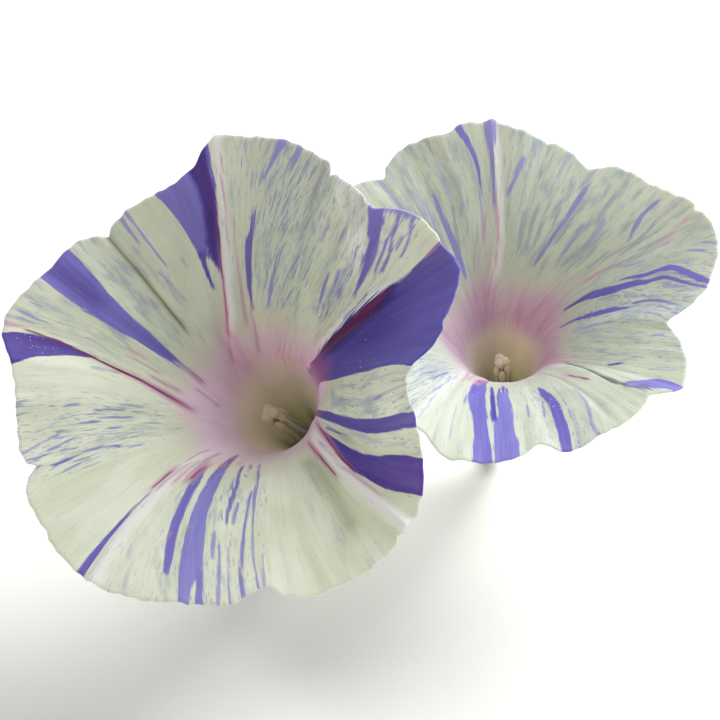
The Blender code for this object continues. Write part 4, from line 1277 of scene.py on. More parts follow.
REAR = Flower(
    name="rear", base=(23.1, 23.0, 10.9), lean=18.8, heading=263.6, turn=190.3, size=0.88,
    head_lean=(0.0, 0.4, 0.0), seed=23,
    column_turn=((0, -1), (36, -1), (72, 0), (108, 0), (144, 0), (180, 3), (216, 3), (252, -4), (288, -2),
        (324, 2)),
    rim=((2, 0.9, 2.8), (5, 0.9, 2.8), (8, 0.6, 2.6), (11, 0, 2.3), (20, 1.3, 1.1), (27, 1.4, 0),
        (33, 0.2, -0.6), (36, -0.6, -0.7), (40, 0.6, -0.8), (55, 1.5, -1), (72, 2, -1), (90, 0.5, -1),
        (104, 0, -1), (108, -1.2, -1), (113, 0.5, -1), (130, 0.5, -0.7), (144, 0.2, -0.5), (150, 0.4, -0.4),
        (158, 3.4, -0.4), (166, 3.3, -0.4), (177, 2.3, -0.3), (183, 0.3, -0.2), (188, 2.3, -0.2),
        (199, 1.7, 0.2), (212, 1.3, 0.5), (219, 0.4, 0.5), (225, 2.6, 0.3), (233, 1.3, -0.3),
        (238, -0.4, -0.6), (244, -2.6, -0.9), (248, -4.3, -0.9), (253, -2.8, -0.8), (258, -0.7, -0.5),
        (264, 1.1, 0.2), (271, 2.7, 1.2), (278, 3.3, 1.9), (286, 3.1, 2.3), (300, 0.4, 1), (312, 0.6, -0.9),
        (318, 0.5, -1.6), (326, -1.5, -1.8), (333, -0.4, -1.1), (340, -0.4, 0), (350, -0.2, 2),
        (356, 0.7, 2.5), (359, 0.9, 2.7)),
    ray_relief=(-0.4, -0.8, -0.6, -0.4, -0.6),
    ray_bend=(20, 15, -4, 13, 17),
    drift=((0, -1, 1, 24), (14, -2, 2, 14), (27, 0, 2, 8), (50, 2, 6, 10), (72, 1, 5, 14), (100, 3, 6, 10),
        (125, 0, 0, 0), (145, -2, -6, -8), (160, -5, -9, -9), (172, 0, -1, -2), (187, 4, 4, 5),
        (198, 5, 6, 8), (208, -1, -2, 0), (216, 1, 6, 12), (226, -3, -3, 5), (240, -2, 0, 6), (256, 5, 8, 12),
        (266, 4, 6, 12), (276, 8, 14, 19), (288, 1, 5, 15), (298, -3, -1, 5), (310, -1, 1, 6),
        (323, 2, 6, 13), (340, 2, 6, 16), (351, 4, 6, 20)),
    marks=((0, 0.35, 0.7, 0.5), (20, 0.35, 0.9, 0.5), (40, 0.35, 0.8, 0.6), (60, 0.4, 0.5, 0.6),
        (85, 0.3, 0.4, 0.6), (110, 0.4, 0.5, 0.6), (122, 0.7, 0.7, 0.5), (140, 0.65, 0.5, 0.4),
        (150, 0.15, 0.35, 0.4), (162, 0.15, 0.25, 0.4), (178, 0.4, 0.4, 0.15), (186, 0.5, 0.5, 0.2),
        (200, 0.3, 0.4, 0.35), (212, 0.15, 0.35, 0.45), (222, 0.3, 0.45, 0.6), (236, 0.5, 0.45, 0.7),
        (250, 0.45, 0.7, 0.7), (262, 0.7, 0.65, 0.6), (278, 0.55, 0.65, 0.6), (295, 0.3, 0.85, 0.6),
        (312, 0.3, 0.95, 0.65), (330, 0.3, 0.95, 0.65), (345, 0.3, 0.9, 0.6)),
    # painted shade over nearly all of the rear flower
    painted_shade=((0, 1), (60, 0.9), (110, 0.9), (140, 0.65), (165, 0.75), (200, 0.9), (225, 0.8), (245, 1),
        (310, 1)),
    dust=((189.5, 0.78, 1.6, 1.6), (158, 0.68, 2, 0.4), (171, 0.66, 1.5, 0.5), (150, 0.5, 3, 0.5)),
    nicks=((35.8, 0.6, 1), (183, 0.6, 1), (289, 0.9, 0.8)),
    creases=REAR_CREASES, strokes=REAR_STROKES)


@dataclass
class Corolla:
    """Funnel of five petals grown together: a thin closed skin with folds, pleats and a waved rim."""

    flower: Flower
    columns: int = 840              # round the inner skin, twice as many as round the outer
    tube_rows: int = 12
    limb_rows: int = 62
    throat: float = 0.42            # share where the tube begins to open
    reach_power: float = 1.2
    lift_power: float = 1.8
    ray_half_width: float = 7.0
    seam_half_width: float = 4.0
    seam_depth: float = 0.5
    bend_power: float = 2.2
    foot_thickness: float = 0.55
    rim_thickness: float = 0.28
    ripple: float = 0.115           # mm, the waves of the rim
    rim_waves: tuple[int, ...] = (19, 27, 38, 53, 71, 97)
    pleat: float = 0.05             # mm, the fine pleats along the files
    pleat_waves: tuple[int, ...] = (23, 31, 44, 60)
    grain_density: float = 1.6e6    # fallen grains on a square metre where the dust is thick
    grain_size: float = 0.15

    def profile(self) -> tuple[Array, Array, Array, float]:
        """The plain funnel's curve.

        Returns:
            Share, radius and height of many points, and the curve's length.
        """
        fine = smooth_route([(r * self.flower.size, h * self.flower.size) for r, h in FUNNEL_PROFILE], 0.2)
        lengths = np.concatenate([[0.0], np.cumsum(np.linalg.norm(np.diff(fine, axis=0), axis=1))])
        return lengths / lengths[-1], fine[:, 0], fine[:, 1], float(lengths[-1])

    def off_ray(self, spots: Spots) -> tuple[Array, Array]:
        """The nearest ray; a ray turns ever more on its way to the throat.

        Args:
            spots: Points of the petals.

        Returns:
            The ray's number at each point, and the degrees from it.
        """
        best_ray = np.zeros(spots.angle.shape, int)
        best_off = np.full(spots.angle.shape, 360.0)
        turning = (np.clip(1.0 - spots.share, 0.0, 0.6) / 0.5) ** self.bend_power
        for ray, bend in enumerate(self.flower.ray_bend):
            off = apart(spots.angle, ray * PITCH + bend * turning)
            nearer = np.abs(off) < np.abs(best_off)
            best_ray = np.where(nearer, ray, best_ray)
            best_off = np.where(nearer, off, best_off)
        return best_ray, best_off

    def file_angle(self, spots: Spots) -> Array:
        """Where the file of cells through each point meets the rim.

        Args:
            spots: Points of the petals.

        Returns:
            One angle in radians for each point.
        """
        near, middle, far = (periodic(self.flower.drift, spots.angle, column) for column in (1, 2, 3))
        first, second, third = DRIFT_SHARES
        drift = near * np.clip((1.0 - spots.share) / (1.0 - first), 0, 1)
        drift = drift + (middle - near) * np.clip((first - spots.share) / (first - second), 0, 1)
        drift = drift + (far - middle) * np.clip((second - spots.share) / (second - third), 0, 1.5)
        return np.radians(spots.angle - drift)

    def surface(self, angle: Array, share: Array) -> Array:
        """Points of the middle of the skin.

        Args:
            angle: Nominal angles.
            share: Shares of the way from foot to rim.

        Returns:
            Points in the flower's own frame.
        """
        flower = self.flower
        shares, radii, heights, _ = self.profile()
        opening = np.maximum(0.0, (share - self.throat) / (1.0 - self.throat))
        real = angle + periodic(flower.column_turn, angle) * np.minimum(1.0, share / self.throat)
        radius = np.interp(share, shares, radii)
        radius = radius + periodic(flower.rim, real, 1) * opening ** self.reach_power
        height = np.interp(share, shares, heights)
        height = height + periodic(flower.rim, real, 2) * opening ** self.lift_power
        swell = np.where(opening > 0, np.sin(np.pi * np.minimum(1.0, 0.12 + 0.76 * opening)), 0.0)
        spots = Spots(angle, share, radius)
        ray, off = self.off_ray(spots)
        fold = np.array(flower.ray_relief)[ray] * np.exp(-(off / self.ray_half_width) ** 2)
        from_seam = angle % PITCH - PITCH / 2
        groove = self.seam_depth * np.exp(-(from_seam / self.seam_half_width) ** 2)
        height = height + (fold - groove) * swell
        for crease in flower.creases:
            height = height + crease.height * crease.nearness(spots)
        draw = np.random.default_rng(flower.seed)
        edge = opening ** 5
        for waves in self.rim_waves:
            phase, weight = draw.uniform(0, 2 * np.pi), draw.uniform(0.5, 1.0)
            wave = np.radians(real) * waves + phase
            size = self.ripple * weight * edge
            height = height + size * 0.7 * np.sin(wave) * self.rim_waves[0] / waves ** 0.9
            radius = radius + size * 0.6 * np.cos(wave + phase)
        files = self.file_angle(spots)
        for waves in self.pleat_waves:
            phase = draw.uniform(0, 2 * np.pi)
            height = height + self.pleat * np.sin(files * waves + phase) * np.sqrt(opening)
        for spot, depth, width in flower.nicks:
            away = np.abs(Spots(angle, share, radius).off(spot) / width)
            radius = radius - depth * np.maximum(0.0, 1.0 - away) * edge ** 2
        return around(radius, real, height)

    def skin(self, columns: int, side: float) -> tuple[Array, Array, Array, Array]:
        """One side of the petals.

        Args:
            columns: Vertices round the flower.
            side: 1 for the inner skin, -1 for the outer, 0 for the lip between them.

        Returns:
            Nominal angle, share, distance from the axis, and point, for each row and column.
        """
        tube = np.linspace(0.0, self.throat, self.tube_rows, endpoint=False)
        shares = np.concatenate([tube, np.linspace(self.throat, 1.0, self.limb_rows + 1)])
        angle, share = np.meshgrid(np.arange(columns) * 360.0 / columns, shares)
        middle = self.surface(angle, share)
        round_way = np.roll(middle, -1, axis=1) - np.roll(middle, 1, axis=1)
        up_way = np.gradient(middle, axis=0)
        inward = np.cross(round_way, up_way)
        inward *= -np.sign(np.sum(inward[0] * middle[0] * (1, 1, 0), axis=-1).mean())
        inward /= np.linalg.norm(inward, axis=-1, keepdims=True)
        half = (self.foot_thickness + (self.rim_thickness - self.foot_thickness) * share)[..., None] / 2
        along = up_way / np.linalg.norm(up_way, axis=-1, keepdims=True)
        points = middle + (inward * side + along * (side == 0)) * half
        return angle, share, np.hypot(middle[..., 0], middle[..., 1]), points

    def fields(self, spots: Spots) -> dict[str, Array]:
        """What colours each point.

        Args:
            spots: Points of the petals.

        Returns:
            The petal's attributes.
        """
        length = self.profile()[3]
        flower, share = self.flower, spots.share
        found = {kind.value: np.full(share.shape, -3.0) for kind in Pigment}
        nearest, tone, strength, fray = (np.full(share.shape, value) for value in (-1.5, 0.4, 1.0, 0.12))
        for stroke in flower.strokes:
            inside = stroke.depth(spots, length)
            found[stroke.pigment.value] = np.maximum(found[stroke.pigment.value], inside)
            if stroke.pigment is Pigment.VIOLET:
                here = (inside > nearest) | (inside > 0.0)
                nearest = np.where(here, inside, nearest)
                blend = np.where(here, np.clip(inside / max(stroke.fray, 0.15), 0.0, 1.0), 0.0)
                blend = np.where(here & (tone == 0.4) & (strength == 1.0), 1.0, blend)
                tone = tone + (stroke.tone - tone) * blend
                strength = np.where(here & (inside > 0), np.maximum(strength * (1 - blend), stroke.strength),
                                    np.where(here, stroke.strength, strength))
                fray = np.where(here, min(stroke.fray, 0.35), fray)
        rib, crease, dust = (np.zeros(share.shape) for _ in range(3))
        # each crease: painted shade in its hollow, and a pale rib with painted highlight on its crest
        for fold in flower.creases:
            near = fold.nearness(spots)
            rib = np.maximum(rib, near * fold.rib)
            crease = np.maximum(crease, near ** 2 * fold.shadow)
        for spot_angle, spot_share, wide, thick in flower.dust:
            away = np.hypot(spots.off(spot_angle), (share - spot_share) * length)
            dust = np.maximum(dust, thick * np.exp(-(away / wide) ** 2))
        files = self.file_angle(spots)
        flecks, clouds, pink = (periodic(flower.marks, spots.angle, column) for column in (1, 2, 3))
        off_ray = np.abs(np.radians(self.off_ray(spots)[1])) * spots.radius
        glow = 0.5 * np.exp(-(off_ray / 2.2) ** 2) * ease(share, 0.8, 0.52)
        ring = pink * ease(share, 0.61, 0.45)
        return {**found, "tone": tone, "strength": strength, "fray": fray, "share": share, "rib": rib,
                "crease": crease, "dust": dust, "painted_shade": periodic(flower.painted_shade, spots.angle),
                "fleck": flecks * ease(share, 0.48, 0.64),
                "mottle": clouds * ease(share, 0.48, 0.68),
                "blush": np.clip((ring + glow) * ease(share, 0.33, 0.44), 0.0, 1.0),
                "flow": np.stack([np.cos(files), np.sin(files), share], axis=-1)}

    def mesh(self) -> Mesh:
        """The closed skin with its attributes.

        Returns:
            The mesh, in the sprig's frame.
        """
        wide, half = self.columns, self.columns // 2
        inner, outer, lip = self.skin(wide, 1.0), self.skin(half, -1.0), self.skin(wide, 0.0)
        parts = [tuple(values.reshape(-1, *values.shape[2:]) for values in inner),
                 tuple(values[-1] for values in lip),
                 tuple(values.reshape(-1, *values.shape[2:]) for values in outer)]
        angle, share, radius, points = (np.concatenate(values) for values in zip(*parts))
        rows = self.tube_rows + self.limb_rows + 1
        lip_row, outside = rows * wide, (rows + 1) * wide

        def seam(fine: int, coarse: int, flip: bool) -> list[tuple[int, ...]]:
            """Join a row to one with half as many vertices.

            Args:
                fine: The fuller row's first vertex.
                coarse: The other row's first vertex.
                flip: Whether the faces look the other way.

            Returns:
                Five-sided faces.
            """
            faces = [(fine + 2 * k, fine + 2 * k + 1, fine + (2 * k + 2) % wide, coarse + (k + 1) % half,
                      coarse + k) for k in range(half)]
            return [face[::-1] for face in faces] if flip else faces

        faces = grid_faces(rows + 1, wide, True).tolist()
        faces += (outside + grid_faces(rows, half, True)[:, ::-1]).tolist()
        faces += seam(lip_row, outside + (rows - 1) * half, False) + seam(0, outside, True)
        mesh = new_mesh(f"petals_{self.flower.name}", self.flower.place(points), faces)
        found = self.fields(Spots(angle, share, radius))
        found["dust"][lip_row:] = 0.0
        found["outer"] = (np.arange(len(points)) >= outside).astype(float)
        for name, values in found.items():
            set_field(mesh, name, values)
        return mesh

    def build(self, kit: Kit) -> None:
        """Make the petals and the pollen that has fallen on them.

        Args:
            kit: Finishes and growers.
        """
        mesh = self.mesh()
        mesh.materials.append(kit.petal)
        petals = new_object(mesh.name, mesh)
        pollen = kit.grains.grow(mesh.copy(), Density=self.grain_density, Size=self.grain_size * MM,
                                 Seed=self.flower.seed, Material=kit.pollen)
        fallen = new_object(f"pollen_{self.flower.name}", pollen)
        settle(petals, [f"corolla_{self.flower.name}"], "five petals grown into a funnel")
        settle(fallen, [], "pollen fallen in the throat")


@dataclass
class Calyx:
    """Receptacle and five pointed hairy sepals, pressed to the tube."""

    flower: Flower
    length: float = 14.0
    width: float = 3.6
    thickness: float = 0.6
    rows: int = 40
    columns: int = 16
    turns: int = 48                 # faces round the receptacle
    hair_density: float = 3.0e6     # hairs on a square metre
    hair_length: float = 1.1
    hair_thickness: float = 0.07
    receptacle: Table = ((0.0, -3.6), (1.5, -3.6), (2.0, -3.3), (2.4, -2.9), (2.9, -2.2), (3.3, -1.6),
                         (3.45, -1.2), (3.4, -0.8), (3.1, -0.3), (2.9, -0.35), (0.0, -0.4))

    def sepal(self) -> Array:
        """One sepal's middle skin: broad at its foot, keeled, and pointed.

        Returns:
            Its points, row by row.
        """
        across, along = np.meshgrid(np.linspace(-1, 1, self.columns), np.linspace(0, 1, self.rows))
        half = self.width / 2 * (0.55 + 1.2 * along * (1 - along)) * (1 - along ** 3) + 0.06
        radius = 2.95 + 0.55 * (1 - np.exp(-14 * along)) + 0.5 * along + along ** 2 + 0.6 * along ** 4
        radius = radius + 0.18 * np.exp(-(across / 0.16) ** 2) * (1 - along) - 0.25 * across ** 2 * along
        angle = PITCH / 2 + np.degrees(across * half / radius)
        return around(radius, angle, -1.8 + self.length * along).reshape(-1, 3)

    def cup(self) -> Mesh:
        """The receptacle, turned about the flower's axis.

        Returns:
            Its mesh.
        """
        profile = np.array([(r, 0.0, h) for r, h in self.receptacle]) * self.flower.size
        turned = new_object("receptacle", new_line("receptacle", profile))
        screw = turned.modifiers.new("turned", "SCREW")
        screw.axis = "Z"
        screw.steps = screw.render_steps = self.turns
        screw.use_merge_vertices = True
        screw.merge_threshold = 0.01 * MM
        screw.use_normal_calculate = True
        mesh = plain(turned)
        mesh.shade_smooth()
        bpy.data.objects.remove(turned)
        return mesh

    def build(self, kit: Kit) -> None:
        """Make the calyx and its hairs.

        Args:
            kit: Finishes and growers.
        """
        size, name = self.flower.size, self.flower.name
        skin = new_mesh("sepal", self.sepal() * size, grid_faces(self.rows, self.columns).tolist())
        sepals = kit.whorl.grow(thicken("sepal", skin, self.thickness * size), Count=PETALS,
                                Material=kit.stem)
        cup = self.cup()
        cup.materials.append(kit.stem)
        calyx = join(f"sepals_{name}", [cup, sepals])
        move_points(calyx.data, self.flower.place(places_of(calyx.data)))
        coat = kit.hairs.grow(calyx.data.copy(), Density=self.hair_density, Length=self.hair_length * MM,
                              Thickness=self.hair_thickness * MM, Lean=0.5, Droop=0.0,
                              Seed=self.flower.seed + 1, Material=kit.hair)
        settle(calyx, [f"calyx_{name}"], "receptacle with five sepals")
        settle(new_object(f"sepal_hairs_{name}", coat), [], "hairs of the calyx")


@dataclass
class Stamens:
    """Five unequal stamens on one ring, each with a grooved anther."""

    flower: Flower
    heights: tuple[float, ...] = (16.2, 17.6, 16.8, 18.2, 17.2)
    foot: float = 1.62              # mm from the axis: at the ring, half way up, and at the anther
    belly: float = 1.5
    waist: float = 1.05
    spread: float = 0.95
    ring_height: float = 0.5
    ring_radius: float = 0.42
    filament_radius: float = 0.3
    anther_radius: float = 0.64
    anther_half_length: float = 1.5

    def pod(self, turn: float, rise: Array, way: Array) -> Array:
        """Points of a lobed pod, turned by some radians, with a groove down each side of the lobes."""
        out = self.anther_radius * np.sin(rise) ** 0.8 * (0.74 + 0.26 * np.abs(np.sin(way + turn)) ** 0.7)
        return around(out, np.degrees(way), -self.anther_half_length * np.cos(rise))

    def build(self, kit: Kit) -> None:
        """Make the stamens.

        Args:
            kit: Finishes and growers.
        """
        flower, size = self.flower, self.flower.size
        meshes = []
        for k, height in enumerate(self.heights):
            turn = PITCH * k + PITCH / 2
            out = around(1.0, turn)
            up = np.array((0.0, 0.0, height))
            route = smooth_route([out * self.foot + (0, 0, self.ring_height), out * self.belly + up * 0.35,
                                  out * self.waist + up * 0.7, out * self.spread + up], 0.6) * size
            radii = self.filament_radius * size * np.linspace(1.1, 0.8, len(route))
            meshes.append(kit.tubes.along(flower.lean_over(route), radii, 12, kit.filament))
            points, faces = knob(20, 28, partial(self.pod, math.radians(turn)))
            anther = new_mesh("anther", flower.lean_over((points + out * self.spread + up) * size), faces)
            anther.materials.append(kit.anther)
            meshes.append(anther)
        ring = around(self.foot, np.arange(0, 361, 10), self.ring_height)
        meshes.append(kit.tubes.along(flower.place(ring * size), np.full(len(ring), self.ring_radius * size),
                                      12, kit.filament))
        settle(join(f"anthers_{flower.name}", meshes), [f"stamens_{flower.name}"],
               "five stamens on their ring")


@dataclass
class Pistil:
    """Ovary, style and a stigma of three rough lobes."""

    flower: Flower
    lobe_radius: float = 0.8
    lobe_spread: float = 0.62
    lobes: int = 3
    first_lobe: float = 20.0        # its angle
    top: float = 20.2
    papilla_density: float = 1.6e7  # on a square metre
    papilla_size: float = 0.2
    style: Table = ((0.8, 0.2), (1.08, 0.9), (1.05, 2.0), (0.65, 3.2), (0.4, 4.4), (0.34, 8.0),
                    (0.34, 18.0), (0.5, 19.4))

    def lobe(self, rise: Array, way: Array) -> Array:
        """Points of one rough lobe of the stigma, from angles up and round it."""
        radius = self.lobe_radius * (1.0 + 0.05 * np.sin(7 * way) * np.sin(6 * rise))
        return around(radius * np.sin(rise), np.degrees(way), -radius * np.cos(rise))

    def build(self, kit: Kit) -> None:
        """Make the pistil with the papillae of its stigma.

        Args:
            kit: Finishes and growers.
        """
        flower, size = self.flower, self.flower.size
        rod = smooth_route(self.style, 0.5)
        path = np.stack([0 * rod[:, 0], 0 * rod[:, 0], rod[:, 1]], 1) * size
        meshes = [kit.tubes.along(flower.lean_over(path), rod[:, 0] * size, 20, kit.filament)]
        points, faces = knob(16, 24, self.lobe)
        for k in range(self.lobes):
            centre = around(self.lobe_spread, 360.0 / self.lobes * k + self.first_lobe, self.top)
            lobe = new_mesh("lobe", flower.lean_over((points + centre) * size), faces)
            set_field(lobe, "dust", np.ones(len(points)))
            meshes.append(kit.grains.grow(lobe.copy(), Density=self.papilla_density,
                                          Size=self.papilla_size * MM, Seed=k, Material=kit.pollen))
            lobe.materials.append(kit.anther)
            meshes.append(lobe)
        settle(join(f"style_{flower.name}", meshes), [f"pistil_{flower.name}"],
               "ovary, style and stigma")


# Stem and leaves ---------------


@dataclass
class VineStem:
    """Length of twining stem with the forked flower stalk, its pedicels and bracts."""

    radius: float = 1.7
    axis_height: float = 1.45
    stalk_radius: float = 1.3
    pedicel_radius: float = 1.15
    pedicel_top_radius: float = 1.5
    voxel: float = 0.32             # the size to which the stems are melted into one skin
    route: Table = ((-46, 59), (-34, 62), (-18, 60), (-2, 63), (14, 68), (30, 66), (48, 70))
    nodes: Table = ((-34, 62), (-2, 63), (30, 66))
    node_swell: float = 0.5
    fork: Triple = (9, 42, 2.4)
    stalk: Table = ((-2, 63, 1.8), (2, 57, 2.2), (6, 50, 2.5))
    front_pedicel: Table = ((-3.4, 11.9, 11.5), (-1.2, 16.0, 8.2), (2.5, 25.0, 5.4), (6.0, 34.0, 3.6))
    rear_pedicel: Table = ((23.4, 25.2, 4.9), (22.8, 27.4, 2.5), (20.6, 31.2, 1.0), (15.5, 36.8, 1.2))
    bract_length: float = 4.5
    bract_radius: float = 0.6
    hair_density: float = 2.2e6     # hairs on a square metre
    hair_length: float = 0.9
    hair_thickness: float = 0.06

    def pedicel(self, flower: Flower, route: Table) -> tuple[Array, Array]:
        """A pedicel from under its flower to the fork.

        Args:
            flower: The flower it carries.
            route: Its points between the flower's axis and the fork.

        Returns:
            Points and radii.
        """
        below = -3.6 * flower.size - 0.3
        start = flower.place(np.array([(0, 0, below), (0, 0, below - 1.2)])) - SPRIG_SHIFT
        points = smooth_route([*start.tolist(), *route, self.fork], 0.7)
        thick = self.pedicel_top_radius * flower.size
        down = 1 - np.linspace(0, 1, len(points))
        return points, self.pedicel_radius + (thick - self.pedicel_radius) * down ** 2

    def stems(self) -> list[tuple[Array, Array]]:
        """The main stem first, then the stalk, the two pedicels and the two bracts.

        Returns:
            Points and radii of each.
        """
        main = smooth_route([(x, y, self.axis_height) for x, y in self.route], 0.7)
        swell = np.zeros(len(main))
        for x, y in self.nodes:
            away = np.hypot(main[:, 0] - x, main[:, 1] - y)
            swell += self.node_swell * np.exp(-(away / 1.9) ** 2)
        fork = np.array(self.fork)
        stalk = smooth_route([*self.stalk, self.fork], 0.7)
        fork_swell = 0.6 * np.exp(-(np.linalg.norm(stalk - fork, axis=1) / 1.6) ** 2)
        parts = [(main, self.radius * np.linspace(1.0, 0.9, len(main)) + swell),
                 (stalk, self.stalk_radius + fork_swell),
                 self.pedicel(FRONT, self.front_pedicel), self.pedicel(REAR, self.rear_pedicel)]
        for side in (-self.bract_length, self.bract_length):
            bract = smooth_route([fork, fork + (side * 0.5, 0.9, 1.3), fork + (side, 1.5, 1.6)], 0.4)
            parts.append((bract, self.bract_radius * (1.0 - 0.75 * np.linspace(0, 1, len(bract)) ** 2)))
        return parts

    def build(self, kit: Kit) -> None:
        """Make the stem and its hairs.

        Args:
            kit: Finishes and growers.
        """
        parts = self.stems()
        stem = join("sprig_stem", [kit.tubes.along(points + SPRIG_SHIFT, radii, 28, kit.stem)
                                   for points, radii in parts])
        skin = stem.modifiers.new("one skin", "REMESH")
        skin.mode = "VOXEL"
        skin.voxel_size = self.voxel * MM
        skin.use_smooth_shade = True
        stem.modifiers.new("soft joints", "SMOOTH").iterations = 4
        mesh = plain(stem)
        mesh.materials.clear()
        mesh.materials.append(kit.stem)
        places = np.maximum(places_of(mesh), (-np.inf, -np.inf, 0.02))
        move_points(mesh, places)
        cut = np.zeros(len(places))
        main = parts[0][0]
        for end, inner in ((main[0], main[1]), (main[-1], main[-2])):
            out = (end - inner) / np.linalg.norm(end - inner)
            cut = np.maximum(cut, ease((places - end - SPRIG_SHIFT) @ out, -0.45, -0.2))
        set_field(mesh, "cut", cut)
        coat = kit.hairs.grow(mesh.copy(), Density=self.hair_density, Length=self.hair_length * MM,
                              Thickness=self.hair_thickness * MM, Lean=0.6, Droop=0.35, Seed=5,
                              Material=kit.hair)
        move_points(coat, np.maximum(places_of(coat), (-np.inf, -np.inf, 0.0)))
        settle(stem, ["vine_stem"], "stem, stalk, pedicels and bracts in one skin")
        settle(new_object("stem_hairs", coat), [], "hairs of the stem")


@dataclass
class Leaf:
    """One heart-shaped leaf with sunken veins, a waved margin and its petiole."""

    name: str
    petiole: Table
    heading: float
    length: float
    arch: float
    waves: int
    wave_height: float
    thickness: float = 0.45
    petiole_radius: float = 0.85
    spokes: int = 240
    rings: int = 60
    sinus: float = 14.0             # half of the notch's angle at the petiole
    outline: Table = ((0, 1.0), (6, 0.88), (14, 0.76), (28, 0.66), (45, 0.6), (70, 0.54), (95, 0.49),
                      (120, 0.44), (145, 0.385), (160, 0.31), (180, 0.2))
    main_veins: Table = ((27, 0.80), (55, 0.86), (88, 0.86), (128, 0.84))   # (angle, share of the reach)
    side_veins: tuple[float, ...] = (0.24, 0.38, 0.52, 0.65, 0.77, 0.87)    # places on the midrib

    def reach(self, angle: Array) -> Array:
        """Share of the length from the petiole's foot to the margin."""
        curve = smooth_route([(a / 100.0, r) for a, r in self.outline], 0.01)
        return np.interp(np.abs(angle), curve[:, 0] * 100.0, curve[:, 1])

    def veins(self) -> list[tuple[Array, float]]:
        """The veins, on a flat blade with its foot at the origin and its tip along +X.

        Returns:
            Each vein's route and its half width.
        """
        found = [(np.array([(0, 0), (self.length * 0.98, 0)]), 0.55)]
        for side in (-1.0, 1.0):
            for angle, share in self.main_veins:
                out = float(self.reach(np.array([angle]))[0]) * self.length * share
                bend = angle - 9.0
                route = around(np.array((0.0, 0.5 * out, out)), np.array((0.0, angle + 5, bend)))
                route = route[:, :2] * (1, side)
                found.append((smooth_route(route, 0.8), 0.38))
                beyond = route[1] * 0.45 + route[2] * 0.55
                for start, run, swing in ((route[1], 0.2975, 30), (beyond, 0.255, 26)):
                    for way in (-swing, swing):
                        twig = around(out * run, bend + way)[:2] * (1, side)
                        found.append((np.array([start, start + twig]), 0.2))
            for start in self.side_veins:
                x = start * self.length
                run = self.length * (0.30 - 0.24 * start)
                route = [(x, 0), (x + run * 0.55, side * run * 0.52), (x + run * 1.15, side * run * 0.82)]
                found.append((smooth_route(route, 0.8), 0.26))
        return found

    def vein_depth(self, flat: Array) -> Array:
        """How much each point is on a vein.

        Args:
            flat: Points of the flat blade.

        Returns:
            A number from 0 to 1 for each point.
        """
        depth = np.zeros(len(flat))
        for route, width in self.veins():
            for a, b in zip(route, route[1:]):
                run = b - a
                u = np.clip(((flat - a) @ run) / max(float(run @ run), 1e-9), 0.0, 1.0)
                gap = np.linalg.norm(flat - a - u[:, None] * run, axis=1)
                away = min(1.0, float(np.linalg.norm(a)) / self.length)
                depth = np.maximum(depth, np.exp(-(gap / (width * (1.0 - 0.55 * away))) ** 2))
        return depth

    def blade(self) -> Mesh:
        """The blade, quilted between its veins, arched and waved.

        Returns:
            A closed mesh with its attributes, in the sprig's frame.
        """
        widest = 180.0 - self.sinus
        angle, ring = np.meshgrid(np.linspace(-widest, widest, self.spokes + 1),
                                  np.linspace(0, 1, self.rings + 1)[1:])
        angle, ring = np.append(angle.ravel(), 0.0), np.append(ring.ravel(), 0.0)
        reach = self.reach(angle) * self.length * ring
        vein = self.vein_depth(around(reach, angle)[:, :2])
        wave = self.wave_height * ring ** 2 * (0.5 - 0.5 * np.cos(np.radians(angle) * self.waves))
        rib = 0.5 * np.exp(-(angle / 9.0) ** 2) * np.sin(np.pi * ring)
        quilt = 0.28 * (1 - vein) * np.sin(np.pi * np.minimum(1, ring * 1.02)) - 0.18 * vein
        height = 0.3 + self.arch * (1 - ring ** 1.6) + wave - rib + quilt * np.minimum(1, ring * 6)
        foot = np.array((*self.petiole[-1][:2], 0.0))
        points = around(reach, angle + self.heading, height) + foot + SPRIG_SHIFT
        wide = self.spokes + 1
        middle = self.rings * wide
        faces = grid_faces(self.rings, wide)[:, [0, 3, 2, 1]].tolist()
        faces += [(middle, k, k + 1) for k in range(self.spokes)]
        skin = new_mesh(self.name, points, faces)
        set_field(skin, "vein", vein)
        mesh = thicken("blade", skin, self.thickness)
        count = len(mesh.vertices)
        set_field(mesh, "under", (np.arange(count) >= count // 2).astype(float))
        return mesh

    def build(self, kit: Kit) -> None:
        """Make the leaf.

        Args:
            kit: Finishes and growers.
        """
        blade = self.blade()
        blade.materials.append(kit.leaf)
        route = smooth_route(self.petiole, 0.6)
        radii = self.petiole_radius * np.linspace(1.1, 0.8, len(route))
        stalk = kit.tubes.along(route + SPRIG_SHIFT, radii, 20, kit.stem)
        settle(join(f"{self.name}_blade", [blade, stalk]), [self.name],
               "heart-shaped leaf with its petiole")


LEAVES = (
    Leaf("leaf_1", petiole=((-3.5, 60.4, 2.7), (-5.4, 58.8, 3.8), (-9.0, 56.5, 5.2), (-15.0, 52.0, 6.6),
                            (-19.6, 45.6, 7.0), (-22.0, 40.0, 6.4)),
         heading=247.0, length=38.0, arch=6.0, waves=7, wave_height=1.3),
    Leaf("leaf_2", petiole=((30.2, 68.25, 2.45), (30.5, 71.5, 4.2), (30.6, 76.0, 5.7), (31.0, 82.0, 5.4)),
         heading=76.0, length=29.0, arch=5.0, waves=6, wave_height=1.1),
    Leaf("leaf_3", petiole=((-34.0, 64.25, 2.45), (-33.2, 67.5, 3.9), (-31.5, 71.0, 5.0),
                            (-30.0, 75.5, 5.0)),
         heading=94.0, length=28.0, arch=4.6, waves=6, wave_height=1.0))


# Studio ---------------


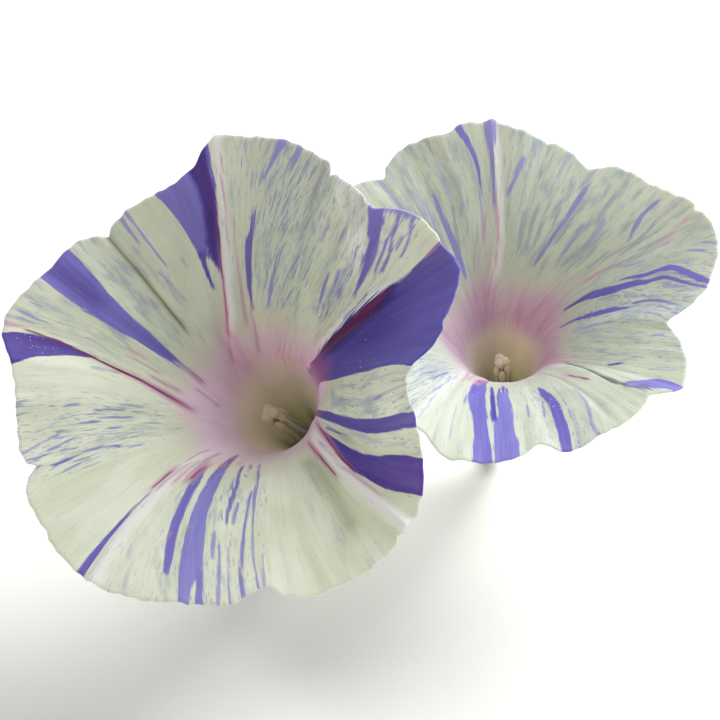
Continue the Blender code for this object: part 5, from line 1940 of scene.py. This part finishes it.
@dataclass
class Studio:
    """Pale table, soft light from above and the camera."""

    target: Triple = (-1.2, -32.7, 40.0)
    elevation: float = 35.0
    distance: float = 320.0
    lens: float = 108.8
    sensor: float = 36.0
    floor_half_side: float = 1500.0
    floor_colour: str = "#fbfbfa"
    floor_roughness: float = 0.9
    sky_colour: str = "#ffffff"
    sky_strength: float = 0.5
    lamp_place: Triple = (450.0, 300.0, 600.0)
    lamp_side: float = 600.0
    lamp_watts: float = 8.3
    lamp_colour: str = "#fffefb"

    def floor(self) -> None:
        """A wide plain table top."""
        corners = np.array([(-1, -1, 0), (1, -1, 0), (1, 1, 0), (-1, 1, 0)])
        table = new_object("table", new_mesh("table", corners * self.floor_half_side, [(0, 1, 2, 3)]))
        material, node = new_material("matt white table")
        shader = node("ShaderNodeBsdfPrincipled",
                      inputs={"Base Color": self.floor_colour, "Roughness": self.floor_roughness})
        node("ShaderNodeOutputMaterial", shader)
        table.data.materials.append(material)

    def lamp(self) -> None:
        """A square soft light that looks at the sprig."""
        data = bpy.data.lights.new("overhead softbox", "AREA")
        data.shape = "SQUARE"
        data.size = self.lamp_side * MM
        data.energy = self.lamp_watts
        data.color = linear(self.lamp_colour)[:3]
        light = new_object(data.name, data)
        light.location = Vector(self.lamp_place) * MM
        light.rotation_euler = (Vector(self.target) * MM - light.location).to_track_quat("-Z", "Y").to_euler()

    def sky(self) -> None:
        """Even pale light from all round."""
        world = bpy.data.worlds.new("pale room")
        world.use_nodes = True
        background = world.node_tree.nodes["Background"]
        background.inputs["Color"].default_value = linear(self.sky_colour)
        background.inputs["Strength"].default_value = self.sky_strength
        bpy.context.scene.world = world

    def camera(self) -> None:
        """Look down on the flowers at the angle they are seen from."""
        data = bpy.data.cameras.new("camera")
        data.lens = self.lens
        data.sensor_width = self.sensor
        data.clip_start = 0.01
        camera = new_object("camera", data)
        rise = math.radians(self.elevation)
        away = Vector((0.0, -math.cos(rise), math.sin(rise))) * self.distance
        camera.location = (Vector(self.target) + away) * MM
        camera.rotation_euler = (-away).to_track_quat("-Z", "Y").to_euler()
        bpy.context.scene.camera = camera

    def build(self) -> None:
        """Set the stage."""
        self.floor()
        self.sky()
        self.lamp()
        self.camera()
        bpy.context.scene.view_settings.view_transform = "Standard"


def main() -> None:
    """Build the studio and the sprig."""
    logging.basicConfig(level=logging.INFO, format="%(name)s: %(message)s")
    Studio().build()
    kit = Kit()
    for flower in (FRONT, REAR):
        for part in (Corolla, Calyx, Stamens, Pistil):
            part(flower).build(kit)
    for part in (VineStem(), *LEAVES):
        part.build(kit)
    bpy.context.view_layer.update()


if __name__ == "__main__":
    main()
